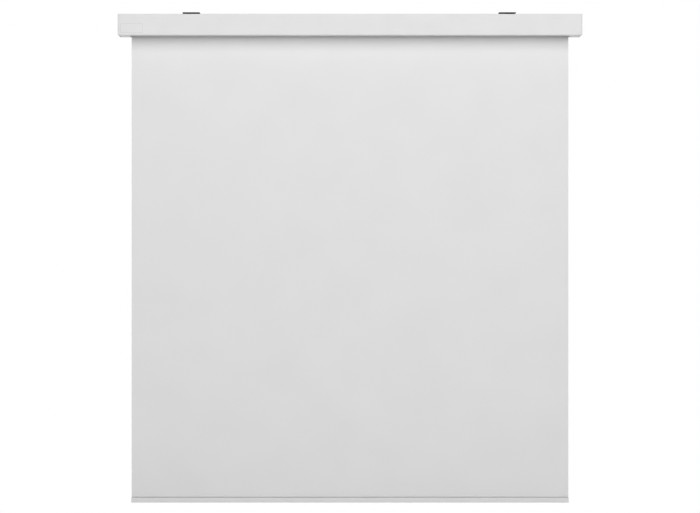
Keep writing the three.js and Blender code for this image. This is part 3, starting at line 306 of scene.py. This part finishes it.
# %% Relief and wiring
def relief(tree, height, depth, under=None):
    """A bump of that depth in metres, laid over the bump beneath it."""
    inputs = {"Height": height, "Distance": depth, "Strength": 1.0}
    if under is not None:
        inputs["Normal"] = under
    return add(tree, "ShaderNodeBump", inputs).outputs["Normal"]


def wire(tree, shader, color, roughness, normal):
    """Joins a finish's three varying properties to its shader."""
    tree.links.new(color, shader.inputs["Base Color"])
    tree.links.new(roughness, shader.inputs["Roughness"])
    tree.links.new(normal, shader.inputs["Normal"])


print("helper", wire.__name__ + ":", wire.__doc__)

# %% [markdown]
# The case and the bottom bar are powder-coated aluminium. The coat levels out as it melts
# but never quite: it keeps a faint orange peel a few millimetres across. Displacing the
# mesh would need millions of faces for a height of a hundredth of a millimetre, so it is
# a bump. The tone drifts by almost three percent over a hand's breadth.

# %% White coat
COAT_DRIFT_SIZE = 0.09
COAT_TONE_SHARES = (0.985, 1.012)
COAT_SHEEN_SIZE = 0.02
COAT_SHEEN_SPREAD = (-0.04, 0.05)
PEEL_SIZE, PEEL_DEPTH = 0.0035, 0.00002
SPECK_SIZE, SPECK_DEPTH = 0.0007, 0.000004
CASE_TONE, CASE_ROUGHNESS = (0.725, 0.725, 0.725), 0.42
BAR_TONE, BAR_ROUGHNESS = (0.775, 0.775, 0.775), 0.45


def white_coat(name, tone, roughness):
    """Powder coat: a drift of tone, a wandering sheen, and a fine speck on an orange peel."""
    material, tree, shader = blank(name)
    drift = cloud(tree, COAT_DRIFT_SIZE, detail=1.0)
    peel = cloud(tree, PEEL_SIZE, detail=1.0)
    speck = cloud(tree, SPECK_SIZE, detail=2.0)
    sheen = cloud(tree, COAT_SHEEN_SIZE)
    wire(tree, shader, color=tones(tree, drift, *shares_of(tone, COAT_TONE_SHARES)),
         roughness=around(tree, sheen, roughness, COAT_SHEEN_SPREAD),
         normal=relief(tree, speck, SPECK_DEPTH, relief(tree, peel, PEEL_DEPTH)))
    return material


finishes = {
    "case_paint": white_coat("case_paint", CASE_TONE, CASE_ROUGHNESS),
    "bar_paint": white_coat("bar_paint", BAR_TONE, BAR_ROUGHNESS),
}
print("coats:", sorted(finishes))

# %% [markdown]
# End caps, plugs, the motor's head and the receiver's box are injection moulded. The tool
# is spark eroded, which leaves a grain of about half a millimetre, and thick places sink
# a little, so the tone and the highlights wander over a few centimetres. Small screws have
# a finer grain and rubber a coarser one. Nylon also lets light in, a couple of millimetres.

# %% Moulded plastics
SINK_SIZE, SINK_DEPTH = 0.03, 0.00005
GRAIN_SIZE, GRAIN_DEPTH = 0.0005, 0.000012
SCREW_GRAIN_SIZE = 0.0003
RUBBER_GRAIN_SIZE = 0.0009
PLASTIC_TONE_SHARES = (0.96, 1.03)
PLASTIC_SPREAD = (-0.06, 0.08)
NYLON_GLOW = {"Subsurface Weight": 0.15, "Subsurface Scale": 0.002}


def moulded(name, tone, roughness, grain=GRAIN_SIZE, even=None):
    """Moulded plastic: a spark-eroded grain of that size over wide, shallow sinks."""
    material, tree, shader = blank(name, even)
    sinks = cloud(tree, SINK_SIZE, detail=1.0)
    sparks = cloud(tree, grain, detail=3.0)
    wire(tree, shader, color=tones(tree, sinks, *shares_of(tone, PLASTIC_TONE_SHARES)),
         roughness=around(tree, sparks, roughness, PLASTIC_SPREAD),
         normal=relief(tree, sparks, GRAIN_DEPTH, relief(tree, sinks, SINK_DEPTH)))
    return material


plastics = {
    "white_plastic": moulded("white_plastic", (0.675, 0.675, 0.673), 0.45),
    "grey_plastic": moulded("grey_plastic", (0.27, 0.28, 0.29), 0.5),
    "black_plastic": moulded("black_plastic", (0.017, 0.017, 0.018), 0.45),
    "natural_nylon": moulded("natural_nylon", (0.74, 0.72, 0.63), 0.4, even=NYLON_GLOW),
    "screw_yellow": moulded("screw_yellow", (0.7, 0.46, 0.02), 0.4, grain=SCREW_GRAIN_SIZE),
    "screw_white": moulded("screw_white", (0.78, 0.78, 0.75), 0.4, grain=SCREW_GRAIN_SIZE),
    "black_rubber": moulded("black_rubber", (0.016, 0.016, 0.017), 0.78,
                            grain=RUBBER_GRAIN_SIZE),
}
finishes.update(plastics)
print("moulded finishes:", len(plastics))

# %% [markdown]
# Zinc leaves a crystal pattern on steel plate and fasteners: cells of slightly different
# brightness, each a few millimetres wide. A cell texture gives every crystal a tone and a
# roughness of its own, and fine noise drawn out across X makes the scratches of handling.

# %% Zinc
CRYSTALS_PER_METRE = 260.0
ZINC_TONE_SHARES = (0.86, 1.0)
ZINC_ROUGHNESS = (0.3, 0.42)
SCRATCH_SIZE, SCRATCH_DEPTH = 0.0004, 0.000004
SCRATCH_STRETCH = (1, 30, 30)


def zinc(name, tone):
    """Zinc on steel: one tone and one roughness for each cell, under fine scratches."""
    material, tree, shader = blank(name, {"Metallic": 1.0})
    place = add(tree, "ShaderNodeTexCoord")
    cells = add(tree, "ShaderNodeTexVoronoi", {"Vector": place.outputs["Object"],
                                               "Scale": CRYSTALS_PER_METRE})
    channels = add(tree, "ShaderNodeSeparateColor", {"Color": cells.outputs["Color"]})
    crystal = channels.outputs[0]
    scratch = cloud(tree, SCRATCH_SIZE, stretch=SCRATCH_STRETCH, detail=2.0)
    wire(tree, shader, color=tones(tree, crystal, *shares_of(tone, ZINC_TONE_SHARES)),
         roughness=between(tree, crystal, *ZINC_ROUGHNESS),
         normal=relief(tree, scratch, SCRATCH_DEPTH))
    return material


finishes["zinc_steel"] = zinc("zinc_steel", (0.62, 0.63, 0.65))
finishes["motor_housing"] = zinc("motor_housing", (0.55, 0.56, 0.58))
print("crystals", round(1000 / CRYSTALS_PER_METRE, 1), "mm wide")

# %% [markdown]
# The roller tube is extruded aluminium. The die draws long fine lines along it, which are
# noise stretched far along X.

# %% Drawn aluminium
LINE_SIZE, LINE_DEPTH = 0.0005, 0.000006
LINE_STRETCH = (600, 1, 1)
LINE_TONE_SHARES = (0.9, 1.0)
LINE_SPREAD = (-0.05, 0.08)


def drawn_aluminium(name, tone, roughness):
    """Extruded metal: tone, roughness and relief all follow the lines of the die."""
    material, tree, shader = blank(name, {"Metallic": 1.0})
    lines = cloud(tree, LINE_SIZE, stretch=LINE_STRETCH, detail=3.0)
    wire(tree, shader, color=tones(tree, lines, *shares_of(tone, LINE_TONE_SHARES)),
         roughness=around(tree, lines, roughness, LINE_SPREAD),
         normal=relief(tree, lines, LINE_DEPTH))
    return material


finishes["roller_aluminium"] = drawn_aluminium("roller_aluminium", (0.78, 0.79, 0.8), 0.3)
print("die lines", round(LINE_SIZE * LINE_STRETCH[0], 2), "m long,", LINE_SIZE, "m wide")

# %% [markdown]
# Of what the photograph shows, only the hanging brackets are dark. Bracket coat is a
# coarse textured powder that hides the marks of bending: its bumps are about half a
# millimetre wide and three times as deep as the case's orange peel.

# %% Bracket coat
GRIT_SIZE, GRIT_DEPTH = 0.0006, 0.00006
DUST_SIZE = 0.012
BLACK_DARK, BLACK_LIGHT = (0.009, 0.009, 0.0095), (0.016, 0.016, 0.0165)
BLACK_ROUGHNESS = (0.42, 0.62)
BLACK_GLOSS = 0.2


def textured_black(name):
    """Textured powder: grit sets the relief and the roughness, dust the tone."""
    material, tree, shader = blank(name, {"Specular IOR Level": BLACK_GLOSS})
    grit = cloud(tree, GRIT_SIZE, detail=3.0)
    dust = cloud(tree, DUST_SIZE, detail=3.0)
    wire(tree, shader, color=tones(tree, dust, BLACK_DARK, BLACK_LIGHT),
         roughness=between(tree, grit, *BLACK_ROUGHNESS),
         normal=relief(tree, grit, GRIT_DEPTH))
    return material


finishes["bracket_paint"] = textured_black("bracket_paint")
print("bracket coat is", round(GRIT_DEPTH / PEEL_DEPTH, 1), "times as deep as the peel")

# %% [markdown]
# The receiver's board is green lacquer over copper tracks, which stand a little proud and
# look lighter through it. A wave texture with some distortion draws them.

# %% Circuit board
TRACK_SCALE = 90.0
TRACK_WANDER = 6.0
TRACK_DEPTH = 0.00003
LACQUER_ON_BOARD, LACQUER_ON_COPPER = (0.012, 0.1, 0.035), (0.03, 0.2, 0.07)
LACQUER_CLOUD_SIZE = 0.004
LACQUER_ROUGHNESS = (0.25, 0.35)


def lacquered_board(name):
    """A board whose tone and relief follow the bands of a wandering wave."""
    material, tree, shader = blank(name)
    place = add(tree, "ShaderNodeTexCoord")
    tracks = add(tree, "ShaderNodeTexWave", {
        "Vector": place.outputs["Object"], "Scale": TRACK_SCALE,
        "Distortion": TRACK_WANDER, "Detail": 0.0}, wave_profile="TRI")
    copper = tracks.outputs["Fac"]
    gloss = cloud(tree, LACQUER_CLOUD_SIZE)
    wire(tree, shader, color=tones(tree, copper, LACQUER_ON_BOARD, LACQUER_ON_COPPER),
         roughness=between(tree, gloss, *LACQUER_ROUGHNESS),
         normal=relief(tree, copper, TRACK_DEPTH))
    return material


finishes["circuit_board"] = lacquered_board("circuit_board")
print("finishes:", len(finishes))

# %% [markdown]
# A projection fabric is a woven glass or polyester ground with a matt white coat. Seen
# close, threads about half a millimetre wide go over and under each other. The pattern
# has to stay with the cloth when it winds or gathers, so it reads the cloth's own UV map,
# which is in metres. A checker decides whether the warp or the weft is on top, and each
# thread is a rounded wave across its own width. At scale 1 Blender's wave texture draws
# 20 / (2 pi) bands to a metre, so the scale is chosen to give one band to a thread.

# %% Screen cloth
THREAD_PITCH, THREAD_DEPTH = 0.0006, 0.00002
BANDS_PER_UNIT = 20 / (2 * math.pi)
SLUB_SIZE, SLUB_DEPTH = 0.003, 0.00001
SLUB_STRETCH = (6, 1, 1)
CLOTH_DRIFT_SIZE = 0.2
CLOTH_TONE = (0.8, 0.8, 0.8)
CLOTH_TONE_SHARES = (0.988, 1.008)
CLOTH_ROUGHNESS = (0.84, 0.92)
CLOTH_SHEEN = 0.06


def screen_cloth(name, tone):
    """Plain weave: over even squares of the checker the warp's wave shows, else the weft's."""
    material, tree, shader = blank(name, {"Sheen Weight": CLOTH_SHEEN})
    uv = add(tree, "ShaderNodeUVMap", uv_map="cloth")
    scale = 1 / (THREAD_PITCH * BANDS_PER_UNIT)
    threads = {}
    for direction in ("X", "Y"):
        threads[direction] = add(tree, "ShaderNodeTexWave", {
            "Vector": uv.outputs[0], "Scale": scale}, bands_direction=direction).outputs["Fac"]
    squares = add(tree, "ShaderNodeTexChecker", {"Vector": uv.outputs[0],
                                                 "Scale": 1 / THREAD_PITCH})
    top = add(tree, "ShaderNodeMix", {"Factor": squares.outputs["Fac"],
                                      "A": threads["X"], "B": threads["Y"]}).outputs[0]
    slub = cloud(tree, SLUB_SIZE, stretch=SLUB_STRETCH, where="UV")
    drift = cloud(tree, CLOTH_DRIFT_SIZE, detail=1.0, where="UV")
    wire(tree, shader, color=tones(tree, drift, *shares_of(tone, CLOTH_TONE_SHARES)),
         roughness=between(tree, slub, *CLOTH_ROUGHNESS),
         normal=relief(tree, slub, SLUB_DEPTH, relief(tree, top, THREAD_DEPTH)))
    return material


finishes["screen_cloth"] = screen_cloth("screen_cloth", CLOTH_TONE)
print("threads per metre:", round(1 / THREAD_PITCH))

# %% [markdown]
# Each CAD node names a material slot in the record. Its mesh stays as it is, and the
# finish goes into the object's own material slot.

# %% Dress the CAD nodes
for part in frame["record"]["subparts"]:
    piece = nodes[part["node"]]
    for slot in piece.material_slots:
        slot.link = "OBJECT"
        slot.material = finishes[part["material_slot"]]

# %% [markdown]
# New pieces are surfaces computed with numpy. Whatever their shape, they end the same way:
# arrays of points and faces become a mesh, the mesh becomes an object at the origin, and
# the object rides on a body of the packed model.

# %% From arrays to a piece
def new_piece(name, points, faces, smooth, finish, body, uv=None):
    """Puts arrays of points and faces into an object; uv gives a place for each point."""
    mesh = bpy.data.meshes.new(name)
    mesh.from_pydata(points.reshape(-1, 3).tolist(), [], [list(map(int, f)) for f in faces])
    mesh.polygons.foreach_set("use_smooth", smooth)
    if uv is not None:
        corners = np.empty(len(mesh.loops), np.int32)
        mesh.loops.foreach_get("vertex_index", corners)
        layer = mesh.uv_layers.new(name="cloth")
        layer.data.foreach_set("uv", uv.reshape(-1, 2)[corners].ravel())
    mesh.materials.append(finishes[finish])
    mesh.update()
    piece = bpy.data.objects.new(name, mesh)
    bpy.context.scene.collection.objects.link(piece)
    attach(piece, body)
    return piece


print("helper", new_piece.__name__ + ":", new_piece.__doc__)

# %% [markdown]
# Cloth is a sheet of even thickness round a grid of middle points. A Solidify modifier
# could thicken it too, but here the edges are wanted square and the mesh closed, which is
# simple to write down directly. The UV map counts metres down the sheet, along its own
# curve, so that the weave isn't stretched where the cloth bends.

# %% Sheets
def thick_sheet(name, middle, thickness, body):
    """A closed sheet. The normal is the cross product of the grid's two directions, and
    the two layers are middle + and - normal * thickness / 2, joined round the border."""
    rows, columns, _ = middle.shape
    down = np.gradient(middle, axis=0)
    across = np.gradient(middle, axis=1)
    normal = np.cross(down, across)
    normal /= np.linalg.norm(normal, axis=2, keepdims=True)
    points = np.stack([middle + normal * thickness / 2, middle - normal * thickness / 2])
    index = np.arange(2 * rows * columns).reshape(2, rows, columns)
    front, back = index
    front_quads = np.stack([front[:-1, :-1], front[1:, :-1], front[1:, 1:], front[:-1, 1:]], -1)
    back_quads = np.stack([back[:-1, :-1], back[:-1, 1:], back[1:, 1:], back[1:, :-1]], -1)

    def border(layer):
        return np.concatenate([layer[0, :-1], layer[:-1, -1], layer[-1, :0:-1], layer[:0:-1, 0]])

    near, far = border(front), border(back)
    strip = np.stack([near, np.roll(near, -1), np.roll(far, -1), far], -1)
    faces = np.concatenate([front_quads.reshape(-1, 4), back_quads.reshape(-1, 4), strip])
    smooth = np.arange(len(faces)) < len(faces) - len(strip)
    steps_down = np.linalg.norm(np.diff(middle, axis=0), axis=2)[:, :1]
    run = np.concatenate([[[0.0]], np.cumsum(steps_down, axis=0)])
    uv = np.stack([middle[..., 0], np.broadcast_to(run, (rows, columns))], -1)
    uv = np.broadcast_to(uv, (2, rows, columns, 2))
    piece = new_piece(name, points, faces, smooth, "screen_cloth", body, uv)
    print(name, "is", round(float(run[-1, 0]), 4), "m long,", len(faces), "faces")
    return piece, float(run[-1, 0])


print("helper", thick_sheet.__name__ + ":", thick_sheet.__doc__)

# %% [markdown]
# Plates and screws are stacks of rings that are closed at both ends. Which way round the
# faces go depends on the order of the rings, so the solid's signed volume is worked out,
# and the faces are turned round if it is negative.

# %% Stacks of rings
def stacked_rings(name, rings, finish, body):
    """A closed solid: quads join point p of ring k to point p + 1 of ring k + 1, one flat
    face closes each end, and the faces are turned round if the signed volume is negative."""
    count, around_ring, _ = rings.shape
    index = np.arange(count * around_ring).reshape(count, around_ring)
    beside = np.roll(index, -1, axis=1)
    quads = np.stack([index[:-1], beside[:-1], beside[1:], index[1:]], -1).reshape(-1, 4)
    flat = rings.reshape(-1, 3)
    a, b, c, d = (flat[quads[:, k]] - flat.mean(0) for k in range(4))
    volume = sum(np.einsum("ij,ij->", p, np.cross(q, r)) for p, q, r in ((a, b, c), (a, c, d)))
    faces = [*quads, index[0][::-1], index[-1]]
    if volume < 0:
        faces = [face[::-1] for face in faces]
    return new_piece(name, rings, faces, np.zeros(len(faces), bool), finish, body)


print("helper", stacked_rings.__name__ + ":", stacked_rings.__doc__)

# %% [markdown]
# The fabric hangs from the rear of the roller to the bar, 1.95 m of it, and the weight of
# the bar keeps it flat: the photograph shows no wave in it. Close to its side edges even a
# good screen curls back by a fraction of a millimetre, and over its width it breathes a
# little, so the sheet isn't a perfect plane. Its columns lie closer together towards the
# side edges, where the curl is. It is flat where roller and bar hold it: over the share s
# of its length, 4 s (1 - s) is 0 at both ends and 1 in the middle.

# %% The fabric's middle surface
EDGE_CURL = 0.0006
EDGE_CURL_REACH = 0.035
BREATHING = 0.00025
BREATH_PER_METRE_ACROSS, BREATH_START_ACROSS = 5.1, 0.7
BREATH_PER_METRE_DOWN, BREATH_START_DOWN = 2.3, 0.4
FABRIC_ROWS = 160
FABRIC_COLUMNS = 120

sheet_low, sheet_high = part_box("screen_fabric")
across = np.sin(np.linspace(-1, 1, FABRIC_COLUMNS + 1) * math.pi / 2) * sheet_high.x
along = np.linspace(sheet_high.z, sheet_low.z, FABRIC_ROWS + 1)
x, z = np.meshgrid(across, along)
share = (sheet_high.z - z) / (sheet_high.z - sheet_low.z)
held = np.clip(4 * share * (1 - share), 0, 1)
curl = EDGE_CURL * np.exp(-(sheet_high.x - np.abs(x)) / EDGE_CURL_REACH)
breath_across = np.sin(x * BREATH_PER_METRE_ACROSS + BREATH_START_ACROSS)
breath_down = np.sin(z * BREATH_PER_METRE_DOWN + BREATH_START_DOWN)
breath = BREATHING * breath_across * breath_down
y = (sheet_low.y + sheet_high.y) / 2 + held * (curl + breath)
print("the fabric leaves its plane by", round(float(np.ptp(y)) * 1000, 2), "mm")

# %% [markdown]
# The sheet stands for the plain CAD sheet and rides on the bar, with a mesh of its own.

# %% Fabric
FABRIC_THICKNESS = 0.00045

fabric, fabric_length = thick_sheet("fabric", np.stack([x, y, z], -1), FABRIC_THICKNESS,
                                    "lower_bar")
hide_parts("screen_fabric")
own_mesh(fabric)

# %% [markdown]
# Two and a quarter turns stay on the roller when the screen is down, so that the cloth's
# grip, not the rod at its end, carries the bar. They are one band: it comes in at the rear
# of the roller, spirals inwards by its thickness and a little air at each turn, and ends
# at the top of the tube, over the groove that holds the rod.

# %% Turns on the roller
TURNS_ON_ROLLER = 2.25
STEPS_PER_TURN = 96
TURN_COLUMNS = 8
AIR_BETWEEN_TURNS = 0.00045

tube_low, tube_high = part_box("roller_tube")
tube_y, tube_z = (tube_low.y + tube_high.y) / 2, (tube_low.z + tube_high.z) / 2
turns_low, turns_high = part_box("fabric_turns")
pitch = FABRIC_THICKNESS + AIR_BETWEEN_TURNS
outer_radius = turns_high.y - FABRIC_THICKNESS / 2 - tube_y
turn = np.linspace(0, TURNS_ON_ROLLER, int(TURNS_ON_ROLLER * STEPS_PER_TURN) + 1)
radius = outer_radius - turn * pitch
band_y = tube_y + radius * np.cos(2 * math.pi * turn)
band_z = tube_z + radius * np.sin(2 * math.pi * turn)
x = np.linspace(turns_low.x, turns_high.x, TURN_COLUMNS + 1)
middle = np.stack(np.broadcast_arrays(x[None, :], band_y[:, None], band_z[:, None]), -1)
wound, wound_length = thick_sheet("fabric_on_roller", middle, FABRIC_THICKNESS, "roller")
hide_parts("fabric_turns")

# %% [markdown]
# At the lower left of the case's face there is a bare plate, 89 by 37 mm, with a fine line
# round it. It is a thin plate with rounded corners on a dark grey film, whose rim is that
# line: painted shade, a dark line drawn where the gap round the plate's edge lies in shadow.
# Both are rings of one rounded rectangle: at each corner a quarter circle, joined by the
# straight sides.

# %% Bare plate on the case
PLATE_WIDTH, PLATE_HEIGHT = 0.0891, 0.0368
PLATE_FROM_CASE_END = 0.0117
PLATE_FROM_CASE_BOTTOM = 0.0095
PLATE_CORNER = 0.002
PLATE_PROUD = 0.0004
PLATE_EDGE = 0.0001
SHADE_FILM_THICKNESS = 0.00008
SHADE_LINE_WIDTH = 0.0004
CORNER_STEPS = 9

case_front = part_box("case_profile")[0].y


def rounded_rectangle(inset, depth):
    """Ring of points: corner centre + radius * (cos, sin) over a quarter turn per corner."""
    radius = PLATE_CORNER - inset
    quarter = np.linspace(0, math.pi / 2, CORNER_STEPS)
    angle = np.concatenate([quarter + k * math.pi / 2 for k in range(4)])
    side_x = np.repeat([1, -1, -1, 1], CORNER_STEPS)
    side_z = np.repeat([1, 1, -1, -1], CORNER_STEPS)
    half_x, half_z = PLATE_WIDTH / 2, PLATE_HEIGHT / 2
    middle_x = case_low.x + PLATE_FROM_CASE_END + half_x
    middle_z = case_low.z + PLATE_FROM_CASE_BOTTOM + half_z
    x = middle_x + side_x * (half_x - PLATE_CORNER) + radius * np.cos(angle)
    z = middle_z + side_z * (half_z - PLATE_CORNER) + radius * np.sin(angle)
    return np.stack([x, np.full_like(x, case_front - depth), z], -1)


# The film's rim is painted shade: a dark grey line round the plate, where its edge would lie in
# shadow.
shade_film = np.stack([rounded_rectangle(-SHADE_LINE_WIDTH, 0.0), rounded_rectangle(-SHADE_LINE_WIDTH, SHADE_FILM_THICKNESS)])
stacked_rings("face_plate_film", shade_film, "grey_plastic", "case")
plate = np.stack([rounded_rectangle(0.0, SHADE_FILM_THICKNESS),
                  rounded_rectangle(0.0, PLATE_PROUD - PLATE_EDGE),
                  rounded_rectangle(PLATE_EDGE, PLATE_PROUD)])
stacked_rings("face_plate", plate, "case_paint", "case")
print("bare plate", PLATE_WIDTH, "x", PLATE_HEIGHT, "m, standing", PLATE_PROUD, "m proud")

# %% [markdown]
# Four screws hold each end cap and the steel plate beneath it to the ports of the
# extrusion. A screw is rings of points again, but the rings on the face of its head are
# pushed in where the cross of the driver goes: at distance r from the axis and angle a,
# the recess is deepest in the middle, runs out at the ends of the arms, and falls off
# over half an arm's width to each side of the nearer arm.

# %% Shape of a cap screw
HEAD_RADIUS = 0.0037
HEAD_RIM = 0.0007
HEAD_EDGE = 0.0001
HEAD_DOME = 0.0008
SHANK_RADIUS = 0.00155
SHANK_LENGTH = 0.012
TIP_RADIUS = 0.0004
TIP_LENGTH = 0.002
RECESS_DEPTH = 0.0017
CROSS_REACH = 0.0024
CROSS_HALF_WIDTH = 0.00055
CROSS_DEPTH = 0.0014
CROSS_FLANK = 1.5
CROSS_TAPER = 1.15
CROSS_RAMP = 2
CROSS_END_SHARE = 0.4
FACE_FROM_SHARE, FACE_TO_SHARE = 0.97, 0.02
FACE_RINGS = 22
SCREW_STEPS = 64


def cap_screw(name, face_x, outward, place_y, place_z):
    """Rings from the tip of the shank to the middle of the head, at face_x + outward * h."""
    angle = np.linspace(0, 2 * math.pi, SCREW_STEPS, endpoint=False)
    seat = -RECESS_DEPTH
    tip = seat - SHANK_LENGTH
    outline = [(TIP_RADIUS, tip), (SHANK_RADIUS, tip + TIP_LENGTH), (SHANK_RADIUS, seat),
               (HEAD_RADIUS - HEAD_EDGE, seat), (HEAD_RADIUS, seat + HEAD_EDGE),
               (HEAD_RADIUS, seat + HEAD_RIM)]
    rim = np.array([[r * np.ones_like(angle), h * np.ones_like(angle)] for r, h in outline])
    face_radii = HEAD_RADIUS * FACE_FROM_SHARE, HEAD_RADIUS * FACE_TO_SHARE
    r = np.linspace(*face_radii, FACE_RINGS)[:, None] + 0 * angle
    arm = np.minimum(np.abs(r * np.sin(angle)), np.abs(r * np.cos(angle)))
    side = np.clip(CROSS_FLANK - arm / CROSS_HALF_WIDTH, 0, 1)
    run = np.clip(CROSS_TAPER * (1 - r / CROSS_REACH), 0, 1)
    dome = seat + HEAD_RIM + HEAD_DOME * (1 - (r / HEAD_RADIUS) ** 2)
    slope = CROSS_END_SHARE + (1 - CROSS_END_SHARE) * run
    h = dome - CROSS_DEPTH * side * np.minimum(run * CROSS_RAMP, 1) * slope
    rings_r = np.concatenate([rim[:, 0], r])
    rings_h = np.concatenate([rim[:, 1], h])
    rings = np.stack([face_x + outward * rings_h, place_y + rings_r * np.cos(angle),
                      place_z + rings_r * np.sin(angle)], -1)
    return stacked_rings(name, rings, "zinc_steel", "case")


print("a cap screw has", SCREW_STEPS, "points to a ring and", FACE_RINGS, "rings on its face")

# %% [markdown]
# The screws sit at the four ports of the extrusion, the upper two close under the top
# wall and the lower two above the ledges for the bottom cover. Both ends are alike, and
# only the side that the heads point to changes.

# %% Cap screws
PORT_INSET = 0.0044
LOWER_PORT_RISE = 0.011

ports = [(y, z) for y in (case_low.y + PORT_INSET, case_high.y - PORT_INSET)
         for z in (case_high.z - PORT_INSET, case_low.z + LOWER_PORT_RISE)]
for side, face_x, outward in (("left", case_low.x, -1), ("right", case_high.x, 1)):
    for number, (place_y, place_z) in enumerate(ports, 1):
        cap_screw(f"cap_screw_{side}_{number}", face_x, outward, place_y, place_z)
print("cap screws:", 2 * len(ports))

# %% [markdown] The visual model must keep to the CAD model's box.


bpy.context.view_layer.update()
meshes = [piece for piece in bpy.data.objects if piece.type == "MESH"]
print("meshes in the scene, the floor and the replaced nodes among them:", len(meshes))
